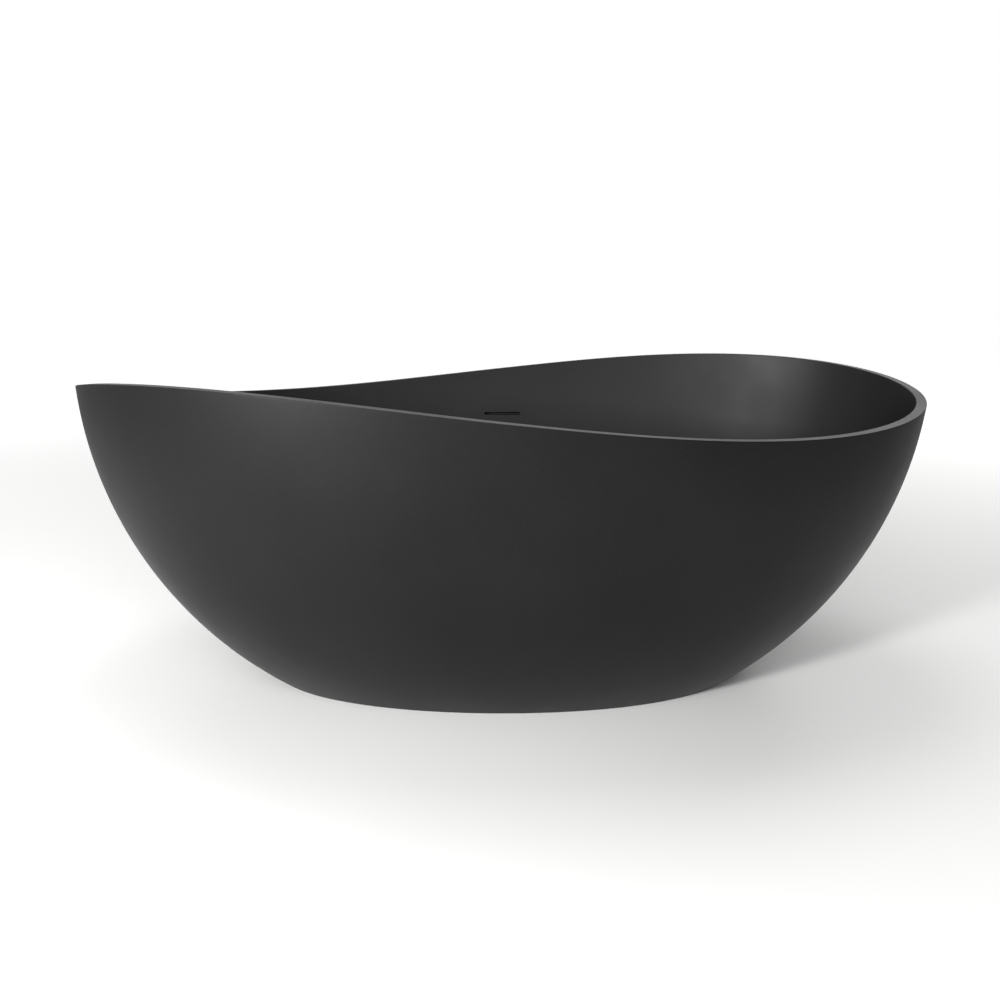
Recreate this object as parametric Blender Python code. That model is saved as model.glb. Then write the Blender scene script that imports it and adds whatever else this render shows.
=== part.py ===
"""Freestanding oval bathtub of cast stone resin, with a rim that rises and falls in a slow wave.

An outer shell and an inner basin are bonded under the rim. Between them run the overflow hose and its
collector, and underneath stand the base board, its support blocks, the waste and four levelling feet.
Metres, +Z up. The origin is on the floor at the centre of the base, and the tub's length lies along X.
"""

import math

import bmesh
import bpy
import numpy as np

# The outer wall
LENGTH = 1.700  # greatest length, where the end walls would stand plumb
WIDTH = 0.889  # width at the rim's mean height
RIM_HEIGHT = 0.6253  # the rim's mean height
RIM_WAVE = 0.0428  # how far the rim rises and falls about that height, twice round the tub
RIM_WAVE_LEAN = 0.0024  # second harmonic, which makes the low sides of the wave steeper
RIM_END_LIFT = 0.0012  # the rim's ends above its mean, and its sides below it
PLUMB_RISE = 0.0394  # above the mean rim, where the curve of the wall would stand plumb
BASE_LENGTH = 0.983
BASE_WIDTH = 0.414
SQUARENESS = 2.04  # exponent of the oval: 2 is an ellipse, more is squarer

# The two castings
RIM_WIDTH = 0.0194
RIM_TILT_RISE = 0.0007  # the rim's inner edge above its outer edge
SKIRT_WALL = 0.0091
BASIN_WALL = 0.0100
BASIN_LEAN = 0.13  # how much further in the basin's wall stands for each metre below the rim
LIP_DEPTH = 0.008  # height of the basin's lip, which covers the shell's top edge
BOND_DEPTH = 0.030  # below the rim, where the bonded land between the castings ends
FLOOR_HEIGHT = 0.115  # top of the basin's floor at the waste
FLOOR_THICKNESS = 0.012
BOWL_ROUND = 7.0  # exponents of the curve between the basin's wall and floor
BOWL_FLAT = 5.0
FOOT_RING_WIDTH = 0.035
FOOT_RING_HEIGHT = 0.018

# Fits
GAP = 0.0003  # between pieces that touch
EDGE_CLEARANCE = 0.002  # round the base board

# Underneath
BOARD_THICKNESS = 0.018
ACCESS_RADIUS = 0.100  # the opening in the board, for the waste
BLOCK_SIDE = 0.060
BLOCK_ANGLE = 38.0  # degrees round the base from its long axis
BLOCK_REACH = 0.48  # share of the way from the centre to the foot ring
SCREW_RADIUS = 0.0022
SCREW_HEAD_RADIUS = 0.0045
SCREW_HEAD_HEIGHT = 0.0032
SCREW_BITE = 0.028
FOOT_ANGLE = 42.0
FOOT_EDGE_DISTANCE = 0.040  # a foot's centre from the foot ring's inner face
STUD_RADIUS = 0.005
STUD_LENGTH = 0.046  # above its hexagon
STUD_HEX_HEIGHT = 0.006
HEX_WALL = 0.0035  # from the thread to the flats of the stud's hexagon and of the locknut
STUD_BALL_HEIGHT = 0.002
STUD_BALL_STEP = 0.001
INSERT_WALL = 0.0027
INSERT_FLANGE_WIDTH = 0.005
INSERT_FLANGE_HEIGHT = 0.003
LOCKNUT_HEIGHT = 0.006
PAD_RADIUS = 0.020
PAD_THICKNESS = 0.0052
PAD_CLEARANCE = 0.003  # above the floor with the foot wound up

# The waste
WASTE_TUBE_RADIUS = 0.0225
WASTE_TUBE_WALL = 0.0035
WASTE_TUBE_LENGTH = 0.0368
HOLE_CLEARANCE = 0.003  # round the waste tube in the basin's floor
FLANGE_OVERLAP = 0.0105  # past the hole
FLANGE_THICKNESS = 0.0025
RECESS_CLEARANCE = 0.0015  # round the flange
RECESS_DEPTH = 0.0045
SEAL_THICKNESS = 0.0012
SEAL_MARGIN = 0.001  # inside the flange's edge
LOWER_SEAL_THICKNESS = 0.003
NUT_HEIGHT = 0.006
NUT_WALL = 0.0105
CROSS_HEIGHT = 0.004
CROSS_BELOW_FLANGE = 0.020  # top of the crosspiece below the flange's top
CROSS_ARM_WIDTH = 0.0035
CROSS_BOSS_RADIUS = 0.008
CARTRIDGE_NECK_RADIUS = 0.0039
CARTRIDGE_BODY_RADIUS = 0.0065
CARTRIDGE_BODY_HEIGHT = 0.010
CARTRIDGE_NECK_LENGTH = 0.009
STEM_RADIUS = 0.0022
PLUG_MARGIN = 0.003  # inside the flange's edge
PLUG_THICKNESS = 0.005
PLUG_OPENING = 0.0090  # between the raised plug's seal and the flange
PLUG_SEAL_THICKNESS = 0.0014
PLUG_SEAL_LAP = 0.0055  # past the waste's bore
PLUG_SEAL_WIDTH = 0.0055
PLUG_BOSS_RADIUS = 0.006
PLUG_BOSS_HEIGHT = 0.006
SPRING_RADIUS = 0.0042
SPRING_WIRE = 0.0007
SPRING_TURNS = 4.0

# The trap side of the waste
TEE_WALL = 0.004
TEE_HEIGHT = 0.0445
TEE_SOCKET_DEPTH = 0.0145
SPIGOT_RADIUS = 0.010  # of both ends of the overflow run
SPIGOT_WALL = 0.002
SPIGOT_REACH = 0.085  # the tee's side spigot, from the waste's axis
SPIGOT_GRIP = 0.030  # how far the hose goes over a spigot
OUTLET_WALL = 0.0022
OUTLET_LENGTH = 0.018
TAIL_RADIUS = 0.0175
TAIL_WALL = 0.002
TAIL_END_HEIGHT = 0.003
TAIL_NUT_WALL = 0.005
TAIL_NUT_HEIGHT = 0.0215
TAIL_WASHER_THICKNESS = 0.0032

# The overflow
SLOT_DEPTH = 0.111  # centre of the slot below the rim
SLOT_LENGTH = 0.090
SLOT_HEIGHT = 0.006
GASKET_THICKNESS = 0.002
COLLECTOR_WALL = 0.002
COLLECTOR_MARGIN = 0.008  # past the slot's ends and above it
COLLECTOR_DROP = 0.078  # below the slot's centre
COLLECTOR_BACK_CLEARANCE = 0.0026  # to the outer shell
COLLECTOR_SPIGOT_LENGTH = 0.085
HOSE_WALL = 0.0022
HOSE_CLEARANCE = 0.0005  # round the spigots, where the hose's chords cross theirs
HOSE_START_DROP = 0.043  # hose's upper end below the collector
CLAMP_WALL = 0.0012
CLAMP_WIDTH = 0.009

AROUND = 56  # points round the castings
SIDES = 16  # sides of the small turned pieces
WIDE_SIDES = 24  # sides of the larger ones

HOLE_RADIUS = WASTE_TUBE_RADIUS + HOLE_CLEARANCE
WASTE_BORE_RADIUS = WASTE_TUBE_RADIUS - WASTE_TUBE_WALL
FLANGE_RADIUS = HOLE_RADIUS + FLANGE_OVERLAP
RECESS_RADIUS = FLANGE_RADIUS + RECESS_CLEARANCE
SEAL_INNER_RADIUS = HOLE_RADIUS + 0.0005
SEAL_OUTER_RADIUS = FLANGE_RADIUS - SEAL_MARGIN
NUT_RADIUS = WASTE_TUBE_RADIUS + NUT_WALL
PLUG_RADIUS = FLANGE_RADIUS - PLUG_MARGIN
PLUG_SEAL_INNER = WASTE_BORE_RADIUS + PLUG_SEAL_LAP
PLUG_SEAL_OUTER = PLUG_SEAL_INNER + PLUG_SEAL_WIDTH
OUTLET_RADIUS = TAIL_RADIUS + GAP + OUTLET_WALL
STUD_BALL_RADIUS = STUD_RADIUS - STUD_BALL_STEP
STUD_HEX_RADIUS = STUD_RADIUS + HEX_WALL
LOCKNUT_RADIUS = STUD_RADIUS + HEX_WALL
INSERT_FLANGE_RADIUS = STUD_RADIUS + GAP + INSERT_WALL + INSERT_FLANGE_WIDTH
ANGLES = np.arange(AROUND) * (2 * math.pi / AROUND)
WASTE_RECESS_TOP = FLOOR_HEIGHT - RECESS_DEPTH
BASIN_UNDERSIDE = FLOOR_HEIGHT - FLOOR_THICKNESS
BOARD_BOTTOM = FOOT_RING_HEIGHT + GAP
BOARD_TOP = BOARD_BOTTOM + BOARD_THICKNESS
FLANGE_BOTTOM = WASTE_RECESS_TOP + SEAL_THICKNESS + 2 * GAP
FLANGE_TOP = FLANGE_BOTTOM + FLANGE_THICKNESS
WASTE_TUBE_END = FLANGE_TOP - WASTE_TUBE_LENGTH
LOWER_SEAL_BOTTOM = BASIN_UNDERSIDE - GAP - LOWER_SEAL_THICKNESS
NUT_BOTTOM = LOWER_SEAL_BOTTOM - GAP - NUT_HEIGHT
TEE_TOP = NUT_BOTTOM - 3 * GAP
TEE_BOTTOM = TEE_TOP - TEE_HEIGHT
TEE_RADIUS = WASTE_TUBE_RADIUS + GAP + TEE_WALL
OUTLET_END = TEE_BOTTOM - OUTLET_LENGTH
SIDE_PORT_HEIGHT = TEE_BOTTOM + TEE_WALL + SPIGOT_RADIUS + 0.004
HOSE_BORE = SPIGOT_RADIUS + HOSE_CLEARANCE
HOSE_RADIUS = HOSE_BORE + HOSE_WALL


# Shapes of the castings

def signed_power(values, power):
    return np.sign(values) * np.abs(values) ** power


def oval(half_length, half_width, height, angles=ANGLES):
    """Points of a level superellipse; the three sizes may each vary round it."""
    x = half_length * signed_power(np.cos(angles), 2 / SQUARENESS)
    y = half_width * signed_power(np.sin(angles), 2 / SQUARENESS)
    return np.stack([x, y, height + 0 * x], axis=1)


def circle(radius, height, angles=ANGLES):
    return np.stack([radius * np.cos(angles), radius * np.sin(angles), height + 0 * angles], axis=1)


def rim_height(angles=ANGLES):
    """The rim's outer edge: a wave that is high at 45 and 225 degrees and low at 135 and 315."""
    wave = RIM_WAVE * np.sin(2 * angles) - RIM_WAVE_LEAN * np.sin(4 * angles)
    return RIM_HEIGHT + wave + RIM_END_LIFT * np.cos(2 * angles)


def wall_half_length(height):
    """A quarter-ellipse curve from the base's end up to plumb above the rim."""
    plumb = RIM_HEIGHT + PLUMB_RISE
    drop = plumb / math.sqrt(1 - (BASE_LENGTH / LENGTH) ** 2)
    return LENGTH / 2 * np.sqrt(1 - ((plumb - height) / drop) ** 2)


def wall_half_width(height):
    """Follows the ends: the sides lean in by a fixed share of what the ends lean in."""
    share = (WIDTH - BASE_WIDTH) / (2 * wall_half_length(RIM_HEIGHT) - BASE_LENGTH)
    return BASE_WIDTH / 2 + share * (wall_half_length(height) - BASE_LENGTH / 2)


def wall_ring(height, inset):
    """A ring at this height, this far in from the outer wall."""
    return oval(wall_half_length(height) - inset, wall_half_width(height) - inset, height)


def basin_inset(depth):
    """How far in from the outer wall the basin's face stands, this far below the rim."""
    return RIM_WIDTH + BASIN_LEAN * depth


def bowl_share(rise):
    """Share of the bowl's full size at this share of its height: 0 at the floor's centre."""
    return (1 - (1 - rise) ** BOWL_ROUND) ** (1 / BOWL_FLAT)


def bowl_rise(share):
    return 1 - (1 - share**BOWL_FLAT) ** (1 / BOWL_ROUND)


def bowl_ring(rise, bottom, thickness, angles=ANGLES):
    """A ring of the basin's face (thickness 0) or of its back, at this share of the way up."""
    top = rim_height(angles)
    height = bottom + rise * (top - bottom)
    inset = basin_inset(top - height) - thickness
    share = bowl_share(rise)
    return oval(
        (wall_half_length(height) - inset) * share,
        (wall_half_width(height) - inset) * share,
        height,
        angles,
    )


def side_of_basin_back(height):
    """Half-width of the basin's back at the middle of the tub's long side."""
    top = float(rim_height(np.array(math.pi / 2)))
    rise = (height - BASIN_UNDERSIDE) / (top - BASIN_UNDERSIDE)
    inset = basin_inset(top - height) - BASIN_WALL
    return float((wall_half_width(height) - inset) * bowl_share(rise))


def side_of_shell(height):
    return float(wall_half_width(height) - SKIRT_WALL)


def round_base(angle_degrees, reach_length, reach_width):
    """The four places at this angle round an oval of the base, one in each quarter."""
    angle = math.radians(angle_degrees)
    x = reach_length * math.cos(angle)
    y = reach_width * math.sin(angle)
    return [(x, y), (-x, y), (-x, -y), (x, -y)]


# Mesh helpers

def material(name, colour, roughness, metallic=0.0):
    made = bpy.data.materials.new(name)
    made.use_nodes = True
    shader = made.node_tree.nodes["Principled BSDF"]
    shader.inputs["Base Color"].default_value = (*colour, 1.0)
    shader.inputs["Roughness"].default_value = roughness
    shader.inputs["Metallic"].default_value = metallic
    made.diffuse_color = (*colour, 1.0)
    return made


def loft(name, rings, finish, capped=False, origin=(0.0, 0.0, 0.0), smooth_degrees=35):
    """A skin through rings of equal count: closed round from last to first, or with flat caps."""
    points = np.concatenate(rings) - np.array(origin)
    count = len(rings[0])
    last = len(rings) - 1 if capped else len(rings)
    faces = []
    for row in range(last):
        lower = row * count
        upper = (row + 1) % len(rings) * count
        for column in range(count):
            after = (column + 1) % count
            faces.append((lower + column, lower + after, upper + after, upper + column))
    if capped:
        faces.append(tuple(range(count))[::-1])
        faces.append(tuple(range(last * count, (last + 1) * count)))
    mesh = bpy.data.meshes.new(name)
    mesh.from_pydata(points.tolist(), [], faces)
    mesh.materials.append(finish)
    shape = bmesh.new()
    shape.from_mesh(mesh)
    bmesh.ops.recalc_face_normals(shape, faces=shape.faces)
    shape.to_mesh(mesh)
    shape.free()
    mesh.shade_smooth()
    mesh.set_sharp_from_angle(angle=math.radians(smooth_degrees))
    piece = bpy.data.objects.new(name, mesh)
    piece.location = origin
    bpy.context.collection.objects.link(piece)
    return piece


def round_ring(radius, height, sides, centre):
    angles = np.arange(sides) * (2 * math.pi / sides)
    return circle(radius, height, angles) + np.array([centre[0], centre[1], 0.0])


def hex_ring(half_flats, height, sides, centre):
    """A hexagon's outline, with corners at each sixth of a turn and points along its flats."""
    ring = round_ring(half_flats, height, sides, centre)
    from_flat = np.arange(sides) * (2 * math.pi / sides) % (math.pi / 3) - math.pi / 6
    ring[:, :2] = centre + (ring[:, :2] - centre) / np.cos(from_flat)[:, None]
    return ring


def turned(name, profile, finish, centre=(0.0, 0.0), sides=SIDES, ring_shaped=True):
    """A turned piece on a vertical axis, from its outline's (radius, height) points.

    A third entry, "hex", makes that level a hexagon. A ring-shaped piece's outline closes on itself;
    a solid one has flat ends.
    """
    centre = np.array(centre)
    rings = []
    for level in profile:
        shape = hex_ring if len(level) == 3 else round_ring
        rings.append(shape(level[0], level[1], sides, centre))
    origin = (*centre.tolist(), profile[0][1])
    return loft(name, rings, finish, not ring_shaped, origin)


def tube_rings(path, radius, sides):
    """Rings square to a path in the plane x = 0."""
    path = np.asarray(path)
    along = np.gradient(path, axis=0)
    along /= np.linalg.norm(along, axis=1)[:, None]
    up = np.stack([0 * along[:, 0], -along[:, 2], along[:, 1]], axis=1)
    angles = np.arange(sides) * (2 * math.pi / sides)
    across = np.array([1.0, 0.0, 0.0])
    return [
        point + radius * (np.cos(angles)[:, None] * across + np.sin(angles)[:, None] * side)
        for point, side in zip(path, up)
    ]


def pipe(name, path, outer, inner, finish, sides=12):
    """A hollow pipe with square ends."""
    rings = tube_rings(path, outer, sides) + tube_rings(path, inner, sides)[::-1]
    return loft(name, rings, finish)


def rod(name, path, radius, finish, sides=12):
    return loft(name, tube_rings(path, radius, sides), finish, capped=True)


def helper(piece):
    """Keeps a cutting or joining shape out of the model."""
    piece.hide_render = True
    piece.display_type = "WIRE"
    return piece


def combine(piece, other, operation):
    modifier = piece.modifiers.new(f"{operation.lower()} {other.name}", "BOOLEAN")
    modifier.operation = operation
    modifier.solver = "EXACT"
    modifier.object = helper(other)


def rounded_slot(name, half_length, half_height, y_from, y_to, height, finish):
    """A bar along Y with the outline of a slot with round ends."""
    turn = np.linspace(-math.pi / 2, math.pi / 2, 7)
    straight = half_length - half_height
    right = np.stack([straight + half_height * np.cos(turn), half_height * np.sin(turn)], axis=1)
    outline = np.concatenate([right, -right])
    rings = [
        np.stack([outline[:, 0], y + 0 * outline[:, 0], height + outline[:, 1]], axis=1)
        for y in (y_from, y_to)
    ]
    return loft(name, rings, finish, capped=True)


# The castings

def make_outer_shell(finish):
    top = rim_height() - LIP_DEPTH - GAP
    bond_end = rim_height() - BOND_DEPTH
    outside = [wall_ring(top * share, 0.0) for share in (1.0, 0.93, 0.84, 0.72, 0.58, 0.44, 0.3, 0.15, 0.0)]
    ring_half_length = BASE_LENGTH / 2 - FOOT_RING_WIDTH
    ring_half_width = BASE_WIDTH / 2 - FOOT_RING_WIDTH
    foot = [
        oval(ring_half_length, ring_half_width, 0.0),
        oval(ring_half_length, ring_half_width, FOOT_RING_HEIGHT),
    ]
    rise = bond_end - FOOT_RING_HEIGHT
    inside = [
        wall_ring(FOOT_RING_HEIGHT + rise * share, SKIRT_WALL)
        for share in (0.0, 0.14, 0.3, 0.46, 0.62, 0.78, 0.9, 1.0)
    ]
    inside.append(wall_ring(top, SKIRT_WALL))
    return loft("outer_shell", outside + foot + inside, finish)


def make_inner_basin(finish):
    top = rim_height()
    face = [circle(HOLE_RADIUS, WASTE_RECESS_TOP), circle(RECESS_RADIUS, WASTE_RECESS_TOP)]
    face.append(circle(RECESS_RADIUS, FLOOR_HEIGHT))
    levels = [bowl_rise(share) for share in (0.35, 0.55, 0.72, 0.84, 0.92)] + [0.27, 0.42, 0.6, 0.78, 0.9]
    face += [bowl_ring(rise, FLOOR_HEIGHT, 0.0) for rise in levels]
    inner_edge = wall_ring(top, RIM_WIDTH)
    inner_edge[:, 2] += RIM_TILT_RISE
    land = SKIRT_WALL + GAP
    lip = [
        inner_edge,
        wall_ring(top, 0.0),
        wall_ring(top - LIP_DEPTH, 0.0),
        wall_ring(top - LIP_DEPTH, land),
        wall_ring(top - BOND_DEPTH, land),
    ]
    back_levels = [0.85, 0.72, 0.56, 0.4, 0.26] + [bowl_rise(share) for share in (0.9, 0.8, 0.65, 0.45)]
    back = [bowl_ring(rise, BASIN_UNDERSIDE, BASIN_WALL) for rise in back_levels]
    back += [circle(RECESS_RADIUS, BASIN_UNDERSIDE), circle(HOLE_RADIUS, BASIN_UNDERSIDE)]
    basin = loft("inner_basin", face + lip + back, finish)
    combine(basin, make_slot_cutter(finish), "DIFFERENCE")
    return basin


def slot_height():
    return float(rim_height(np.array(math.pi / 2))) - SLOT_DEPTH


def make_slot_cutter(finish):
    centre = side_of_basin_back(slot_height())
    past = BASIN_WALL + BASIN_LEAN * SLOT_HEIGHT + GASKET_THICKNESS + 0.006
    return rounded_slot(
        "slot_cutter", SLOT_LENGTH / 2, SLOT_HEIGHT / 2, centre - past, centre + past, slot_height(), finish
    )


# Under the basin

def foot_places():
    reach_length = BASE_LENGTH / 2 - FOOT_RING_WIDTH - FOOT_EDGE_DISTANCE
    reach_width = BASE_WIDTH / 2 - FOOT_RING_WIDTH - FOOT_EDGE_DISTANCE
    return round_base(FOOT_ANGLE, reach_length, reach_width)


def block_places():
    reach_length = (BASE_LENGTH / 2 - FOOT_RING_WIDTH) * BLOCK_REACH
    reach_width = BASE_WIDTH / 2 - FOOT_RING_WIDTH - BLOCK_SIDE / 2
    return round_base(BLOCK_ANGLE, reach_length, reach_width)


def make_base_board(finish):
    inset = SKIRT_WALL + EDGE_CLEARANCE
    outline = wall_ring(FOOT_RING_HEIGHT, inset)
    lower = outline.copy()
    lower[:, 2] = BOARD_BOTTOM
    upper = outline.copy()
    upper[:, 2] = BOARD_TOP
    board = loft("base_board", [lower, upper], finish, capped=True)
    above = BOARD_TOP + 0.004
    below = BOARD_BOTTOM - 0.004
    openings = [((0.0, 0.0), [(ACCESS_RADIUS, below), (ACCESS_RADIUS, above)])]
    insert_hole = STUD_RADIUS + 2 * GAP + INSERT_WALL
    openings += [(place, [(insert_hole, below), (insert_hole, above)]) for place in foot_places()]
    counterbore = BOARD_BOTTOM + SCREW_HEAD_HEIGHT + 3 * GAP
    head = SCREW_HEAD_RADIUS + GAP
    shank = SCREW_RADIUS + GAP
    screw_hole = [(head, below), (head, counterbore), (shank, counterbore), (shank, above)]
    openings += [(place, screw_hole) for place in block_places()]
    for number, (place, profile) in enumerate(openings, 1):
        cutter = turned(f"board_cutter_{number}", profile, finish, place, WIDE_SIDES, ring_shaped=False)
        combine(board, cutter, "DIFFERENCE")
    return board


def make_support_block(number, place, finish):
    half = BLOCK_SIDE / 2
    corners = np.array([(half, half), (-half, half), (-half, -half), (half, -half)]) + np.array(place)
    rings = [
        np.column_stack([corners, np.full(4, height)])
        for height in (BOARD_TOP + GAP, BASIN_UNDERSIDE - GAP)
    ]
    block = loft(f"support_block_{number}", rings, finish, capped=True, origin=(*place, BOARD_TOP + GAP))
    hole = SCREW_RADIUS + GAP
    profile = [(hole, BOARD_TOP - GAP), (hole, BOARD_TOP + SCREW_BITE + 0.002)]
    cutter = turned(f"block_cutter_{number}", profile, finish, place, SIDES, ring_shaped=False)
    combine(block, cutter, "DIFFERENCE")
    return block


def make_block_screw(number, place, finish):
    head_bottom = BOARD_BOTTOM + GAP
    head_top = head_bottom + SCREW_HEAD_HEIGHT
    tip = BOARD_TOP + SCREW_BITE
    profile = [
        (SCREW_HEAD_RADIUS, head_bottom),
        (SCREW_HEAD_RADIUS, head_bottom + SCREW_HEAD_HEIGHT / 2),
        (SCREW_RADIUS, head_top),
        (SCREW_RADIUS, tip - 0.004),
        (SCREW_RADIUS / 4, tip),
    ]
    return turned(f"block_screw_{number}", profile, finish, place, 12, ring_shaped=False)


# A levelling foot

def pad_bottom():
    return PAD_CLEARANCE


def pad_top():
    return PAD_CLEARANCE + PAD_THICKNESS


def stud_bottom():
    return pad_top() - STUD_BALL_HEIGHT + GAP


def hex_top():
    return pad_top() + GAP + STUD_HEX_HEIGHT


def insert_bottom():
    return BOARD_BOTTOM - GAP - INSERT_FLANGE_HEIGHT


def make_foot_pad(number, place, finish):
    socket = STUD_BALL_RADIUS + GAP
    profile = [
        (socket, stud_bottom() - GAP),
        (socket, pad_top()),
        (STUD_BALL_RADIUS * 2.3, pad_top()),
        (PAD_RADIUS * 0.86, pad_bottom() + PAD_THICKNESS * 0.7),
        (PAD_RADIUS, pad_bottom() + PAD_THICKNESS * 0.5),
        (PAD_RADIUS, pad_bottom()),
    ]
    return turned(f"foot_pad_{number}", profile, finish, place, SIDES, ring_shaped=False)


def make_foot_stud(number, place, finish):
    under_hex = pad_top() + GAP
    profile = [
        (STUD_BALL_RADIUS, stud_bottom()),
        (STUD_BALL_RADIUS, under_hex),
        (STUD_HEX_RADIUS, under_hex, "hex"),
        (STUD_HEX_RADIUS, hex_top(), "hex"),
        (STUD_RADIUS, hex_top()),
        (STUD_RADIUS, hex_top() + STUD_LENGTH - 0.001),
        (STUD_RADIUS * 0.8, hex_top() + STUD_LENGTH),
    ]
    return turned(f"foot_stud_{number}", profile, finish, place, 12, ring_shaped=False)


def make_foot_insert(number, place, finish):
    bore = STUD_RADIUS + GAP
    profile = [
        (bore, insert_bottom()),
        (INSERT_FLANGE_RADIUS, insert_bottom()),
        (INSERT_FLANGE_RADIUS, insert_bottom() + INSERT_FLANGE_HEIGHT),
        (bore + INSERT_WALL, insert_bottom() + INSERT_FLANGE_HEIGHT),
        (bore + INSERT_WALL, BOARD_TOP + GAP),
        (bore, BOARD_TOP + GAP),
    ]
    return turned(f"foot_insert_{number}", profile, finish, place, SIDES)


def make_foot_locknut(number, place, finish):
    bore = STUD_RADIUS + GAP
    bottom = BOARD_TOP + 2 * GAP
    profile = [
        (bore, bottom),
        (LOCKNUT_RADIUS, bottom, "hex"),
        (LOCKNUT_RADIUS, bottom + LOCKNUT_HEIGHT, "hex"),
        (bore, bottom + LOCKNUT_HEIGHT),
    ]
    return turned(f"foot_locknut_{number}", profile, finish, place, 12)


# The waste, from the top down

def plug_bottom():
    return FLANGE_TOP + PLUG_OPENING + PLUG_SEAL_THICKNESS + GAP


def cartridge_top():
    return FLANGE_TOP - CROSS_BELOW_FLANGE + GAP + CARTRIDGE_BODY_HEIGHT


def boss_bottom():
    return plug_bottom() - PLUG_BOSS_HEIGHT


def make_waste_plug(finish):
    bottom = plug_bottom()
    hole = STEM_RADIUS + GAP
    profile = [
        (hole, bottom - GAP),
        (hole, boss_bottom()),
        (PLUG_BOSS_RADIUS, boss_bottom()),
        (PLUG_BOSS_RADIUS, bottom),
        (PLUG_RADIUS - 0.0004, bottom),
        (PLUG_RADIUS, bottom + 0.0006),
        (PLUG_RADIUS, bottom + PLUG_THICKNESS * 0.55),
        (PLUG_RADIUS - 0.0012, bottom + PLUG_THICKNESS * 0.82),
        (PLUG_RADIUS * 0.6, bottom + PLUG_THICKNESS * 0.97),
        (PLUG_RADIUS * 0.2, bottom + PLUG_THICKNESS),
    ]
    return turned("waste_plug", profile, finish, sides=WIDE_SIDES, ring_shaped=False)


def make_plug_seal(finish):
    top = plug_bottom() - GAP
    bottom = top - PLUG_SEAL_THICKNESS
    profile = [(PLUG_SEAL_INNER, bottom), (PLUG_SEAL_OUTER, bottom), (PLUG_SEAL_OUTER, top), (PLUG_SEAL_INNER, top)]
    return turned("plug_seal", profile, finish, sides=WIDE_SIDES)


def make_plug_stem(finish):
    bottom = cartridge_top() - CARTRIDGE_BODY_HEIGHT + 0.006
    top = plug_bottom() - 2 * GAP
    profile = [(STEM_RADIUS, bottom), (STEM_RADIUS, top)]
    return turned("plug_stem", profile, finish, sides=12, ring_shaped=False)


def make_latch_cartridge(finish):
    top = cartridge_top()
    shoulder = top - CARTRIDGE_BODY_HEIGHT
    bore = STEM_RADIUS + GAP
    profile = [
        (bore, shoulder - CARTRIDGE_NECK_LENGTH + 0.002),
        (bore, top),
        (CARTRIDGE_BODY_RADIUS, top),
        (CARTRIDGE_BODY_RADIUS, shoulder),
        (CARTRIDGE_NECK_RADIUS, shoulder),
        (CARTRIDGE_NECK_RADIUS, shoulder - CARTRIDGE_NECK_LENGTH),
    ]
    return turned("latch_cartridge", profile, finish, sides=12, ring_shaped=False)


def spring_ends():
    return cartridge_top() + GAP, boss_bottom() - GAP


def make_plug_spring(finish):
    """A helix of round wire, whose ends stay within the cartridge's and the boss's faces."""
    low, high = spring_ends()
    turn = np.linspace(0, 2 * math.pi * SPRING_TURNS, int(10 * SPRING_TURNS) + 1)
    climb = high - low - SPRING_WIRE
    height = low + SPRING_WIRE / 2 + climb * turn / turn[-1]
    sides = 6
    around = np.arange(sides) * (2 * math.pi / sides)
    rings = []
    for angle, level in zip(turn, height):
        radius = SPRING_RADIUS + SPRING_WIRE / 2 * np.cos(around)
        rise = SPRING_WIRE / 2 * np.sin(around)
        rings.append(np.stack([radius * math.cos(angle), radius * math.sin(angle), level + rise], axis=1))
    return loft("plug_spring", rings, finish, capped=True, origin=(0.0, 0.0, low))


def make_waste_flange(finish):
    profile = [
        (WASTE_BORE_RADIUS, WASTE_TUBE_END),
        (WASTE_TUBE_RADIUS, WASTE_TUBE_END),
        (WASTE_TUBE_RADIUS, FLANGE_BOTTOM),
        (FLANGE_RADIUS - 0.0008, FLANGE_BOTTOM),
        (FLANGE_RADIUS, FLANGE_BOTTOM + 0.0008),
        (FLANGE_RADIUS, FLANGE_TOP - 0.0008),
        (FLANGE_RADIUS - 0.0008, FLANGE_TOP),
        (WASTE_BORE_RADIUS, FLANGE_TOP),
    ]
    flange = turned("waste_flange", profile, finish, sides=WIDE_SIDES)
    cross_top = FLANGE_TOP - CROSS_BELOW_FLANGE
    cross_bottom = cross_top - CROSS_HEIGHT
    levels = [(CROSS_BOSS_RADIUS, cross_bottom), (CROSS_BOSS_RADIUS, cross_top)]
    boss = turned("cross_boss", levels, finish, ring_shaped=False)
    for number in range(3):
        combine(boss, make_cross_arm(number, cross_bottom, cross_top, finish), "UNION")
    combine(flange, boss, "UNION")
    hole = CARTRIDGE_NECK_RADIUS + GAP
    levels = [(hole, cross_bottom - 0.002), (hole, cross_top + 0.002)]
    combine(flange, turned("cross_cutter", levels, finish, sides=12, ring_shaped=False), "DIFFERENCE")
    return flange


def make_cross_arm(number, bottom, top, finish):
    """A bar from the boss into the tube's wall, 0.1 mm short of the boss's faces so they don't coincide."""
    turn = math.radians(120 * number + 30)
    reach = (WASTE_BORE_RADIUS + WASTE_TUBE_RADIUS) / 2
    half = CROSS_ARM_WIDTH / 2
    flat = np.array([(0.001, -half), (reach, -half), (reach, half), (0.001, half)])
    turned_flat = flat @ np.array([[math.cos(turn), math.sin(turn)], [-math.sin(turn), math.cos(turn)]])
    rings = [np.column_stack([turned_flat, np.full(4, height)]) for height in (bottom + 0.0001, top - 0.0001)]
    return loft(f"cross_arm_{number}", rings, finish, capped=True)


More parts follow.
